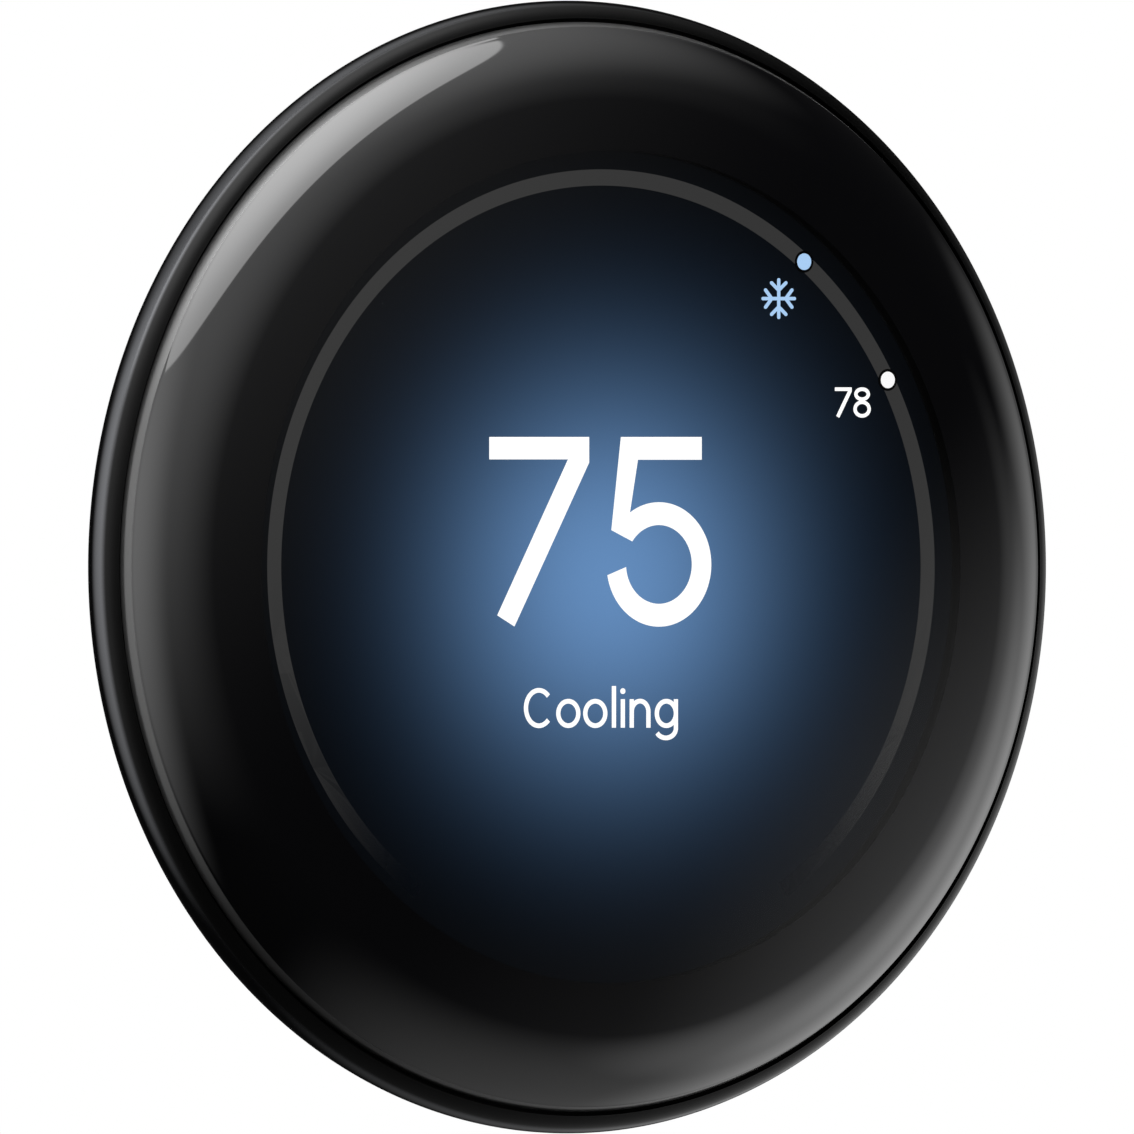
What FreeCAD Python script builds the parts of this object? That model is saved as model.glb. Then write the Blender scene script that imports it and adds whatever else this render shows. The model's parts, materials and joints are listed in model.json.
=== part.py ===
import FreeCAD, Part
import os
import re
import Sketcher

# Round wall thermostat: a wall base with lever terminals, a head that pulls off it,
# a domed glass face that presses in, and a rim ring that turns round the glass.
# Local frame of every piece: x right, y up, z away from the wall. Each finished piece
# is turned 90 degrees about X, so the wall lies on the XZ plane and the face looks to -Y.

SIZES = {
    # rim ring and the clearances round it
    "rim_radius": 49.0,
    "rim_overhang": 2.3,
    "bead_radius": 2.12,
    "bead_height": 3.64,
    "bead_back_angle": 60.0,
    "ring_height": 3.1,
    "ring_gap": 0.3,
    "shoulder_width": 1.9,
    "tail_width": 1.8,
    "retainer_gap": 0.2,
    "flange_gap": 0.3,
    "glass_gap": 0.3,
    # cover glass
    "crown_radius": 272.0,
    "roll_radius": 10.0,
    "knee_inset": 8.5,
    "glass_thickness": 1.3,
    "bevel_width": 0.45,
    "bevel_drop": 0.95,
    "foot_height": 0.2,
    "land_width": 2.55,
    "foot_overhang": 1.15,
    "adhesive_thickness": 0.3,
    # stack of the display
    "lcd_inset": 12.3,
    "lcd_gap": 0.2,
    "lcd_thickness": 1.4,
    "backlight_thickness": 1.8,
    "bracket_thickness": 0.9,
    "bracket_clearance": 0.1,
    "bracket_hole_radius": 4.2,
    "bracket_hole_circle": 22.0,
    "pocket_clearance": 0.5,
    "pocket_wall": 1.0,
    "pocket_height": 3.1,
    "ledge_width": 1.7,
    # carrier, bearing and retainer
    "flange_thickness": 1.5,
    "hub_wall": 1.7,
    "bearing_thickness": 1.2,
    "bearing_clearance": 0.1,
    "bearing_height": 1.2,
    "bearing_drop": 0.4,
    "retainer_thickness": 1.0,
    "retainer_reach": 1.0,
    "retainer_screw_radius": 0.6,
    "retainer_head_radius": 0.8,
    "retainer_head_height": 0.45,
    "retainer_screw_length": 3.0,
    "strip_thickness": 0.5,
    "strip_height": 1.4,
    "strip_rise": 0.2,
    "strip_notch_width": 1.6,
    "strip_notch_depth": 0.7,
    "sensor_width": 4.4,
    "sensor_depth": 3.0,
    "sensor_height": 3.0,
    "sensor_air": 0.9,
    "fit_clearance": 0.05,
    # guides and springs of the pressing face
    "press_travel": 0.6,
    "press_room": 0.9,
    "guide_inset": 9.8,
    "guide_screw_radius": 1.12,
    "guide_clearance": 0.08,
    "guide_head_radius": 1.7,
    "guide_head_height": 1.2,
    "guide_thread_radius": 0.8,
    "guide_thread_length": 3.0,
    "guide_post_radius": 1.8,
    "guide_post_gap": 0.9,
    "sleeve_clearance": 0.3,
    "sleeve_wall": 0.8,
    "sleeve_drop": 0.3,
    "boss_radius": 2.3,
    "boss_height": 2.1,
    "head_clearance": 0.25,
    "coil_inset": 10.8,
    "coil_radius": 1.7,
    "coil_wire_radius": 0.28,
    "coil_turns": 4.0,
    "coil_peg_radius": 1.1,
    "coil_peg_height": 1.6,
    # rear housing
    "foot_inset": 11.8,
    "body_taper": 0.64,
    "base_depth": 5.9,
    "shadow_gap": 0.3,
    "skirt_depth": 5.9,
    "skirt_wall": 1.6,
    "floor_thickness": 1.4,
    "floor_gap": 0.7,
    "collar_wall": 1.4,
    "collar_clearance": 1.1,
    "collar_depth": 3.0,
    # main board and what stands on it
    "board_thickness": 1.0,
    "board_inset": 15.0,
    "standoff_height": 1.4,
    "standoff_radius": 2.2,
    "board_screw_inset": 3.6,
    "board_screw_radius": 0.8,
    "board_screw_head_radius": 1.7,
    "board_screw_head_height": 0.8,
    "board_screw_length": 2.6,
    "battery_width": 30.0,
    "battery_length": 22.0,
    "battery_thickness": 3.6,
    "battery_offset": 6.0,
    "battery_corner": 1.8,
    "pad_thickness": 0.4,
    "pad_inset": 2.0,
    "can_side": 14.0,
    "can_height": 2.0,
    "can_offset_x": 10.0,
    "can_offset_y": 4.0,
    "sounder_radius": 5.5,
    "sounder_height": 2.5,
    "sounder_offset": 20.0,
    "sounder_port_radius": 1.0,
    "switch_side": 6.0,
    "switch_height": 2.0,
    "switch_bore_depth": 1.2,
    "plunger_radius": 1.6,
    "plunger_clearance": 0.15,
    "plunger_rise": 1.0,
    "plunger_play": 0.4,
    "post_play": 0.35,
    "post_radius": 2.0,
    "flex_width": 10.0,
    "flex_thickness": 0.2,
    "flex_offset": 30.0,
    "flex_socket_width": 12.0,
    "flex_socket_depth": 2.4,
    "flex_socket_height": 1.0,
    "thermistor_length": 4.0,
    "thermistor_depth": 2.4,
    "thermistor_height": 1.2,
    "thermistor_gap": 2.3,
    # sensors behind the dark border of the glass
    "presence_width": 8.0,
    "presence_depth": 4.6,
    "presence_height": 1.2,
    "light_radius": 1.2,
    "light_height": 0.9,
    "light_spacing": 9.0,
    "border_gap": 0.4,
    # wall base
    "plate_thickness": 1.8,
    "base_wall": 1.8,
    "wire_opening_width": 18.0,
    "wire_opening_height": 22.0,
    "wire_opening_corner": 3.0,
    "screw_spacing": 58.0,
    "wall_hole_radius": 2.2,
    "screw_well_radius": 4.6,
    "boss_clearance": 0.05,
    "cover_gap": 1.05,
    "cover_wall": 1.3,
    "cover_top": 1.3,
    "cover_rise": 3.0,
    "cover_window_width": 29.0,
    "cover_window_height": 25.0,
    "base_board_thickness": 1.2,
    "base_standoff": 1.4,
    "base_board_gap": 0.7,
    "opening_margin": 0.5,
    "cover_screw_inset": 3.0,
    "cover_screw_radius": 1.0,
    "cover_screw_head_radius": 1.9,
    "cover_screw_head_height": 0.9,
    "cover_post_radius": 2.5,
    "cover_screw_bite": 0.9,
    # terminals
    "terminal_width": 12.0,
    "terminal_margin": 1.7,
    "terminal_gap": 2.8,
    "terminal_height": 3.1,
    "lever_pitch": 5.6,
    "lever_width": 4.2,
    "lever_length": 8.8,
    "lever_thickness": 1.3,
    "lever_side_gap": 0.25,
    "lever_end_gap": 0.5,
    "lever_proud": 0.3,
    "hub_radius": 0.8,
    "hub_clearance": 0.08,
    "hub_inset": 1.8,
    "recess_depth": 1.2,
    "wire_bore_radius": 0.8,
    "wire_bore_depth": 6.0,
    "wire_bore_height": 0.95,
    "leaf_thickness": 0.2,
    "leaf_width": 3.0,
    "leaf_length": 5.6,
    # plug between head and base
    "plug_offset": 18.0,
    "plug_width": 18.0,
    "plug_depth": 5.0,
    "plug_height": 1.2,
    "tongue_width": 15.6,
    "tongue_depth": 2.6,
    "tongue_reach": 4.6,
    "socket_wall": 1.4,
    "socket_clearance": 0.4,
    "socket_drop": 0.3,
    "socket_floor": 1.2,
    "window_margin": 0.4,
    # level vial, relays and clips of the base
    "vial_radius": 1.7,
    "vial_length": 16.0,
    "vial_offset": 18.2,
    "vial_clearance": 0.05,
    "cradle_wall": 0.9,
    "cradle_depth": 2.2,
    "relay_width": 5.0,
    "relay_depth": 4.0,
    "relay_height": 1.6,
    "relay_x": 12.0,
    "relay_y": 26.0,
    "clip_thickness": 0.5,
    "clip_angle": 11.0,
    "clip_bump": 0.35,
    "clip_height": 6.2,
}

# Named places that follow from the sizes, each an expression of the sheet's aliases.

# along the axis, measured from the wall
SKIRT_BOTTOM = "(base_depth + shadow_gap)"
SKIRT_TOP = f"({SKIRT_BOTTOM} + skirt_depth)"
RETAINER_BOTTOM = f"({SKIRT_TOP} + press_room)"
RETAINER_TOP = f"({RETAINER_BOTTOM} + retainer_thickness)"
RING_BOTTOM = f"({RETAINER_TOP} + retainer_gap)"
SHOULDER_TOP = f"({RING_BOTTOM} + ring_height)"
FLANGE_BOTTOM = f"({SHOULDER_TOP} + flange_gap)"
FLANGE_TOP = f"({FLANGE_BOTTOM} + flange_thickness)"
GLASS_BOTTOM = f"({FLANGE_TOP} + adhesive_thickness)"
BRACKET_TOP = f"({FLANGE_TOP} + bracket_thickness)"
BACKLIGHT_TOP = f"({BRACKET_TOP} + backlight_thickness)"
LCD_TOP = f"({BACKLIGHT_TOP} + lcd_thickness)"
COVER_TOP = "(base_depth + cover_rise)"
COVER_UNDER = f"({COVER_TOP} - cover_top)"
FLOOR_BOTTOM = f"({COVER_TOP} + floor_gap)"
FLOOR_TOP = f"({FLOOR_BOTTOM} + floor_thickness)"
BOARD_BOTTOM = f"({FLOOR_TOP} + standoff_height)"
BOARD_TOP = f"({BOARD_BOTTOM} + board_thickness)"
BASE_BOARD_BOTTOM = "(plate_thickness + base_standoff)"
BASE_BOARD_TOP = f"({BASE_BOARD_BOTTOM} + base_board_thickness)"
TERMINAL_TOP = f"({BASE_BOARD_TOP} + terminal_height)"
GUIDE_POST_TOP = f"({FLANGE_BOTTOM} - boss_height - guide_post_gap)"

# across the axis
GLASS_EDGE = "(rim_radius - rim_overhang)"
FOOT_R = f"({GLASS_EDGE} + bevel_width)"
LAND_R = f"({FOOT_R} - land_width)"
LIP_R = f"({FOOT_R} + ring_gap)"
FLANGE_R = f"({FOOT_R} - foot_overhang)"
STEP_R = f"({FLANGE_R} + ring_gap)"
BORE_R = f"({STEP_R} - shoulder_width)"
TAIL_R = f"({BORE_R} + tail_width)"
BEARING_R = f"({BORE_R} - bearing_clearance)"
HUB_R = f"({BEARING_R} - bearing_thickness)"
HUB_INNER = f"({HUB_R} - hub_wall)"
LCD_R = "(rim_radius - lcd_inset)"
POCKET_R = f"({LCD_R} + pocket_clearance)"
POCKET_OUTER = f"({POCKET_R} + pocket_wall)"
GUIDE_R = "(rim_radius - guide_inset)"
COIL_R = "(rim_radius - coil_inset)"
SLEEVE_R = f"({HUB_INNER} - sleeve_clearance)"
RETAINER_R = f"({BORE_R} + retainer_reach)"
BOARD_R = "(rim_radius - board_inset)"
BOARD_SCREW_R = f"({BOARD_R} - board_screw_inset)"
FOOT_RADIUS = "(rim_radius - foot_inset)"
COVER_R = f"({FOOT_RADIUS} + body_taper * plate_thickness - base_wall - cover_gap)"
COVER_INNER = f"({COVER_R} - cover_wall)"
COLLAR_INNER = f"({COVER_R} + collar_clearance)"
COLLAR_R = f"({COLLAR_INNER} + collar_wall)"
BASE_BOARD_R = f"({COVER_INNER} - base_board_gap)"
COVER_SCREW_R = f"({COVER_INNER} - cover_screw_inset)"
HALF_ROW = "(3 * lever_pitch)"
TERMINAL_OUT = f"(sqrt({COVER_INNER} ^ 2 - {HALF_ROW} ^ 2) - terminal_gap)"
TERMINAL_IN = f"({TERMINAL_OUT} - terminal_width)"
PIVOT_X = f"({TERMINAL_OUT} - hub_inset)"

# centres of the glass and rim arcs
APEX = f"({LCD_TOP} + lcd_gap + crown_radius - sqrt((crown_radius - glass_thickness) ^ 2 - {LCD_R} ^ 2))"
KNEE_R = "(rim_radius - knee_inset)"
KNEE_COS = f"sqrt(1 - ({KNEE_R} / crown_radius) ^ 2)"
ROLL_R = f"((crown_radius - roll_radius) * {KNEE_R} / crown_radius)"
ROLL_W = f"({APEX} - crown_radius + (crown_radius - roll_radius) * {KNEE_COS})"
EDGE_W = f"({ROLL_W} + sqrt(roll_radius ^ 2 - ({GLASS_EDGE} - {ROLL_R}) ^ 2))"
BEVEL = f"min(bevel_drop; {EDGE_W} - {GLASS_BOTTOM} - foot_height)"
BEAD_R = "(rim_radius - bead_radius)"
BEAD_W = f"({RING_BOTTOM} + bead_height)"

GUIDE_ANGLES = (30, 150, 270)
COIL_ANGLES = (90, 210, 330)
BOARD_SCREW_ANGLES = (25, 155, 235, 305)
QUARTER_ANGLES = (45, 135, 225, 315)
RETAINER_ANGLES = (20, 80, 140, 200, 260, 320)
LEVER_ROWS = (-2.5, -1.5, -0.5, 0.5, 1.5, 2.5)
STRIP_NOTCHES = 48

ALIAS = re.compile(r"\b[a-z][a-z0-9]*(?:_[a-z0-9]+)+\b")
OUTWARD = FreeCAD.Rotation(FreeCAD.Vector(1, 0, 0), 90)
ALONG_Y = FreeCAD.Rotation(FreeCAD.Vector(1, 0, 0), -90)
ALONG_X = FreeCAD.Rotation(FreeCAD.Vector(0, 1, 0), 90)

doc = FreeCAD.newDocument("Thermostat")
sheet = doc.addObject("Spreadsheet::Sheet", "Sizes")
nodes = []


def fill_sheet():
    """Name in column A, plain number in column B with the name as its alias."""
    for row, (name, number) in enumerate(SIZES.items(), start=1):
        sheet.set(f"A{row}", name)
        sheet.set(f"B{row}", str(number))
        sheet.setAlias(f"B{row}", name)
    doc.recompute()


def link(text):
    return ALIAS.sub(r"Sizes.\g<0>", text)


def value(text):
    return float(sheet.evalExpression(link(text)))


def bind(item, path, text):
    item.setExpression(path, link(text))


def place(item, x="0", y="0", z="0", turn=None):
    if turn is not None:
        item.Placement = FreeCAD.Placement(FreeCAD.Vector(), turn)
    for axis, text in zip("xyz", (x, y, z)):
        if text != "0":
            bind(item, f"Placement.Base.{axis}", text)


def cylinder(radius, bottom, height, x="0", y="0", turn=None):
    item = doc.addObject("Part::Cylinder", "Cylinder")
    bind(item, "Radius", radius)
    bind(item, "Height", height)
    place(item, x, y, bottom, turn)
    return item


def cylinder_along_x(radius, start, length, y, z):
    item = doc.addObject("Part::Cylinder", "Cylinder")
    bind(item, "Radius", radius)
    bind(item, "Height", length)
    place(item, start, y, z, ALONG_X)
    return item


def cylinder_along_y(radius, start, length, x, z):
    item = doc.addObject("Part::Cylinder", "Cylinder")
    bind(item, "Radius", radius)
    bind(item, "Height", length)
    place(item, x, start, z, ALONG_Y)
    return item


def block(x, y, z, width, depth, height):
    """Box centred on x and y, standing on z."""
    item = doc.addObject("Part::Box", "Box")
    bind(item, "Length", width)
    bind(item, "Width", depth)
    bind(item, "Height", height)
    place(item, f"{x} - ({width}) / 2", f"{y} - ({depth}) / 2", z)
    return item


def fuse(pieces):
    item = doc.addObject("Part::MultiFuse", "Fuse")
    item.Shapes = pieces
    return item


def cut(base, tools):
    item = doc.addObject("Part::Cut", "Cut")
    item.Base = base
    item.Tool = tools[0] if len(tools) == 1 else fuse(tools)
    return item


def group(pieces):
    item = doc.addObject("Part::Compound", "Group")
    item.Links = pieces
    return item


def finish(label, item):
    """Name the piece and stand it on the wall; a bare primitive is grouped to keep its own place."""
    if item.TypeId in ("Part::Box", "Part::Cylinder"):
        item = group([item])
    item.Label = label
    item.Placement = FreeCAD.Placement(FreeCAD.Vector(), OUTWARD)
    nodes.append(item)


def origin_plane(body, role):
    return [part for part in body.Origin.OriginFeatures if part.Role == role][0]


def pin_point(sketch, edge, x, y):
    """Hold the start of an edge at the place that two expressions give."""
    for kind, axis, text in (("DistanceX", -2, x), ("DistanceY", -1, y)):
        number = value(text)
        if abs(number) < 1e-9:
            sketch.addConstraint(Sketcher.Constraint("PointOnObject", edge, 1, axis))
            continue
        index = sketch.addConstraint(Sketcher.Constraint(kind, -1, 1, edge, 1, number))
        bind(sketch, f"Constraints[{index}]", text)


def arc_through(start, end, centre):
    """Shorter arc about a centre from start to end, as three points."""
    middle = (start + end) / 2 - centre
    middle.Length = (start - centre).Length
    return Part.Arc(start, centre + middle, end)


def outline(body, plane, points, arcs):
    """Closed sketch through the points; arcs maps an edge's number to its arc's centre and radius."""
    sketch = body.newObject("Sketcher::SketchObject", "Sketch")
    sketch.AttachmentSupport = [(origin_plane(body, plane), "")]
    sketch.MapMode = "FlatFace"
    corners = [FreeCAD.Vector(value(x), value(y), 0) for x, y in points]
    count = len(points)
    flipped = set()
    for index in range(count):
        start, end = corners[index], corners[(index + 1) % count]
        if index in arcs:
            centre = FreeCAD.Vector(value(arcs[index][0]), value(arcs[index][1]), 0)
            sketch.addGeometry(arc_through(start, end, centre))
            if (sketch.getPoint(index, 1) - start).Length > 1e-6:
                flipped.add(index)
        else:
            sketch.addGeometry(Part.LineSegment(start, end))
    for index in range(count):
        after = (index + 1) % count
        ends = (1 if index in flipped else 2, 2 if after in flipped else 1)
        joint = Sketcher.Constraint("Coincident", index, ends[0], after, ends[1])
        sketch.addConstraint(joint)
    for index, (x, y) in enumerate(points):
        before = (index - 1) % count
        if index not in flipped:
            pin_point(sketch, index, x, y)
        elif before in flipped:
            pin_point(sketch, before, x, y)
        else:
            pin_end(sketch, before, x, y)
    for index, (_, _, radius) in arcs.items():
        number = sketch.addConstraint(Sketcher.Constraint("Radius", index, value(radius)))
        bind(sketch, f"Constraints[{number}]", radius)
    return sketch


def pin_end(sketch, edge, x, y):
    """Hold the end of an edge at the place that two expressions give."""
    for kind, axis, text in (("DistanceX", -2, x), ("DistanceY", -1, y)):
        number = value(text)
        if abs(number) < 1e-9:
            sketch.addConstraint(Sketcher.Constraint("PointOnObject", edge, 2, axis))
            continue
        index = sketch.addConstraint(Sketcher.Constraint(kind, -1, 1, edge, 2, number))
        bind(sketch, f"Constraints[{index}]", text)


def turned(points, arcs=None, angle=None):
    """Solid of revolution about z from a profile of radius and height."""
    body = doc.addObject("PartDesign::Body", "Body")
    sketch = outline(body, "XZ_Plane", points, arcs or {})
    feature = body.newObject("PartDesign::Revolution", "Revolution")
    feature.Profile = sketch
    feature.ReferenceAxis = (sketch, ["V_Axis"])
    feature.Angle = 360
    if angle:
        bind(feature, "Angle", angle)
        feature.Midplane = True
    return body


def slab(points, arcs, bottom, height):
    """Plate of an outline in x and y, standing on bottom."""
    body = doc.addObject("PartDesign::Body", "Body")
    sketch = outline(body, "XY_Plane", points, arcs)
    bind(sketch, "AttachmentOffset.Base.z", bottom)
    feature = body.newObject("PartDesign::Pad", "Pad")
    feature.Profile = sketch
    bind(feature, "Length", height)
    return body


def rounded_slab(x, y, width, depth, corner, bottom, height):
    """Rectangle centred on x and y with round corners, standing on bottom."""
    left, right = f"{x} - ({width}) / 2", f"{x} + ({width}) / 2"
    low, high = f"{y} - ({depth}) / 2", f"{y} + ({depth}) / 2"
    points = [(f"{left} + {corner}", low), (f"{right} - {corner}", low),
              (right, f"{low} + {corner}"), (right, f"{high} - {corner}"),
              (f"{right} - {corner}", high), (f"{left} + {corner}", high),
              (left, f"{high} - {corner}"), (left, f"{low} + {corner}")]
    arcs = {1: (f"{right} - {corner}", f"{low} + {corner}", corner),
            3: (f"{right} - {corner}", f"{high} - {corner}", corner),
            5: (f"{left} + {corner}", f"{high} - {corner}", corner),
            7: (f"{left} + {corner}", f"{low} + {corner}", corner)}
    return slab(points, arcs, bottom, height)


def hoop(inner, outer, bottom, top):
    return turned([(inner, bottom), (outer, bottom), (outer, top), (inner, top)])


def around(radius, angle):
    """Expressions of x and y at an angle in degrees on a circle."""
    return f"({radius} * cos({angle}))", f"({radius} * sin({angle}))"


def tapered(height):
    """Outer radius of the tapered body at a distance from the wall."""
    return f"({FOOT_RADIUS} + body_taper * {height})"


def make_glass():
    """Dome of even thickness: a flat crown arc, a tangent rolled edge, a bevel and a foot."""
    inner = "(crown_radius - glass_thickness)"
    land_w = f"({ROLL_W} + sqrt((roll_radius - glass_thickness) ^ 2 - ({LAND_R} - {ROLL_R}) ^ 2))"
    points = [("0", f"{APEX} - glass_thickness"),
              ("0", APEX),
              (KNEE_R, f"{APEX} - crown_radius + crown_radius * {KNEE_COS}"),
              (GLASS_EDGE, EDGE_W),
              (FOOT_R, f"{EDGE_W} - {BEVEL}"),
              (FOOT_R, GLASS_BOTTOM),
              (LAND_R, GLASS_BOTTOM),
              (LAND_R, land_w),
              (f"{inner} * {KNEE_R} / crown_radius", f"{APEX} - crown_radius + {inner} * {KNEE_COS}")]
    crown = ("0", f"{APEX} - crown_radius")
    arcs = {1: crown + ("crown_radius",),
            2: (ROLL_R, ROLL_W, "roll_radius"),
            7: (ROLL_R, ROLL_W, "roll_radius - glass_thickness"),
            8: crown + (inner,)}
    finish("cover_glass", turned(points, arcs))
    finish("glass_adhesive", hoop(f"{LAND_R} + fit_clearance", FLANGE_R, FLANGE_TOP, GLASS_BOTTOM))


def make_ring():
    """Turning rim: a round bead outside the glass foot, a shoulder under the carrier flange."""
    lip_w = f"({BEAD_W} + sqrt(bead_radius ^ 2 - ({LIP_R} - {BEAD_R}) ^ 2))"
    back_r = f"({BEAD_R} + bead_radius * cos(bead_back_angle))"
    back_w = f"({BEAD_W} - bead_radius * sin(bead_back_angle))"
    points = [(BORE_R, RING_BOTTOM),
              (TAIL_R, RING_BOTTOM),
              (back_r, back_w),
              ("rim_radius", BEAD_W),
              (LIP_R, lip_w),
              (LIP_R, f"{GLASS_BOTTOM} - glass_gap"),
              (STEP_R, f"{GLASS_BOTTOM} - glass_gap"),
              (STEP_R, SHOULDER_TOP),
              (BORE_R, SHOULDER_TOP)]
    bead = (BEAD_R, BEAD_W, "bead_radius")
    finish("outer_ring", turned(points, {2: bead, 3: bead}))


def make_encoder():
    """Notched strip in the bore of the ring and the sensor that reads it from the carrier."""
    strip = hoop(f"{BORE_R} - strip_thickness", BORE_R, f"{RING_BOTTOM} + strip_rise",
                 f"{RING_BOTTOM} + strip_rise + strip_height")
    notches = []
    for index in range(STRIP_NOTCHES):
        angle = 360.0 * index / STRIP_NOTCHES
        notch = doc.addObject("Part::Box", "Notch")
        bind(notch, "Length", "strip_thickness * 3")
        bind(notch, "Width", "strip_notch_width")
        bind(notch, "Height", "strip_notch_depth")
        turn = FreeCAD.Rotation(FreeCAD.Vector(0, 0, 1), angle)
        start = f"({BORE_R} - strip_thickness * 2)"
        x = f"{start} * cos({angle}) + strip_notch_width / 2 * sin({angle})"
        y = f"{start} * sin({angle}) - strip_notch_width / 2 * cos({angle})"
        place(notch, x, y, f"{RING_BOTTOM} + strip_rise", turn)
        notches.append(notch)
    finish("encoder_strip", cut(strip, notches))
    reach = f"({BORE_R} - strip_thickness - sensor_air)"
    sensor = block(f"({reach} - sensor_depth / 2)", "0", f"{FLANGE_BOTTOM} - sensor_height",
                   "sensor_depth", "sensor_width", "sensor_height")
    finish("encoder_sensor", sensor)


def make_carrier():
    """Front carrier: flange under the glass, display pocket, hub for the ring, guide bosses."""
    points = [(f"{POCKET_R} - ledge_width", FLANGE_BOTTOM),
              (HUB_INNER, FLANGE_BOTTOM),
              (HUB_INNER, RETAINER_TOP),
              (HUB_R, RETAINER_TOP),
              (HUB_R, FLANGE_BOTTOM),
              (FLANGE_R, FLANGE_BOTTOM),
              (FLANGE_R, FLANGE_TOP),
              (POCKET_OUTER, FLANGE_TOP),
              (POCKET_OUTER, f"{FLANGE_TOP} + pocket_height"),
              (POCKET_R, f"{FLANGE_TOP} + pocket_height"),
              (POCKET_R, FLANGE_TOP),
              (f"{POCKET_R} - ledge_width", FLANGE_TOP)]
    solids = [turned(points)]
    holes = []
    for angle in GUIDE_ANGLES:
        x, y = around(GUIDE_R, angle)
        bottom = f"{FLANGE_BOTTOM} - boss_height"
        solids.append(cylinder("boss_radius", bottom, "boss_height + fit_clearance", x, y))
        holes.append(cylinder("guide_screw_radius + guide_clearance", f"{bottom} - 1",
                              "boss_height + 2", x, y))
        holes.append(cylinder("guide_head_radius + head_clearance", FLANGE_BOTTOM,
                              "flange_thickness + pocket_height + 1", x, y))
    for angle in RETAINER_ANGLES:
        x, y = around(f"({HUB_R} + {HUB_INNER}) / 2", angle)
        holes.append(cylinder("retainer_screw_radius + fit_clearance", f"{RETAINER_TOP} - 1",
                              "retainer_screw_length + 1", x, y))
    holes.append(block(f"({HUB_R} + {HUB_INNER}) / 2", "0", f"{RETAINER_TOP} - 1",
                       "hub_wall + 1", "sensor_width + 2 * fit_clearance",
                       f"{FLANGE_BOTTOM} - {RETAINER_TOP} + 1"))
    finish("front_carrier", cut(fuse(solids), holes))


def make_bearing():
    """Plastic bearing round the hub, and the retainer that keeps the ring on it."""
    top = f"({FLANGE_BOTTOM} - bearing_drop)"
    finish("ring_bearing", hoop(HUB_R, BEARING_R, f"{top} - bearing_height", top))
    holes, screws = [], []
    for angle in RETAINER_ANGLES:
        x, y = around(f"({HUB_R} + {HUB_INNER}) / 2", angle)
        holes.append(cylinder("retainer_screw_radius + fit_clearance", f"{RETAINER_BOTTOM} - 1",
                              "retainer_thickness + 2", x, y))
        holes.append(cylinder("retainer_head_radius + fit_clearance", f"{RETAINER_BOTTOM} - 1",
                              "retainer_head_height + 1", x, y))
        head = cylinder("retainer_head_radius", RETAINER_BOTTOM, "retainer_head_height", x, y)
        length = "retainer_screw_length + retainer_thickness - fit_clearance - 1"
        shank = cylinder("retainer_screw_radius", RETAINER_BOTTOM, length, x, y)
        screws.append(fuse([head, shank]))
    washer = hoop(HUB_INNER, RETAINER_R, RETAINER_BOTTOM, RETAINER_TOP)
    finish("ring_retainer", cut(washer, holes))
    finish("retainer_screws", group(screws))


def make_display():
    """Bracket, backlight and display cell stacked in the pocket of the carrier."""
    post_bottom = f"({BOARD_TOP} + switch_height + plunger_rise + post_play)"
    disc = cylinder(f"{POCKET_R} - bracket_clearance", FLANGE_TOP, "bracket_thickness")
    post = cylinder("post_radius", post_bottom, f"{FLANGE_TOP} - {post_bottom} + fit_clearance")
    holes = []
    for angle in range(0, 360, 60):
        x, y = around("bracket_hole_circle", angle + 30)
        holes.append(cylinder("bracket_hole_radius", f"{FLANGE_TOP} - 1", "bracket_thickness + 2", x, y))
    finish("display_bracket", cut(fuse([disc, post]), holes))
    finish("backlight_unit", cylinder(f"{LCD_R} + bracket_clearance", BRACKET_TOP, "backlight_thickness"))
    finish("lcd_cell", cylinder(LCD_R, BACKLIGHT_TOP, "lcd_thickness"))
    top = f"({BOARD_TOP} + flex_socket_height)"
    finish("display_flex", block("0", "-flex_offset", top, "flex_width", "flex_thickness",
                                 f"{FLANGE_TOP} - {top}"))


def make_border_sensors():
    """Sensors on the flange, behind the dark border of the glass."""
    y = f"({POCKET_OUTER} + border_gap + presence_depth / 2)"
    finish("presence_sensor", block("0", y, FLANGE_TOP, "presence_width", "presence_depth",
                                    "presence_height"))
    finish("light_sensor", cylinder("light_radius", FLANGE_TOP, "light_height", "light_spacing",
                                    f"{POCKET_OUTER} + border_gap + light_radius"))


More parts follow.
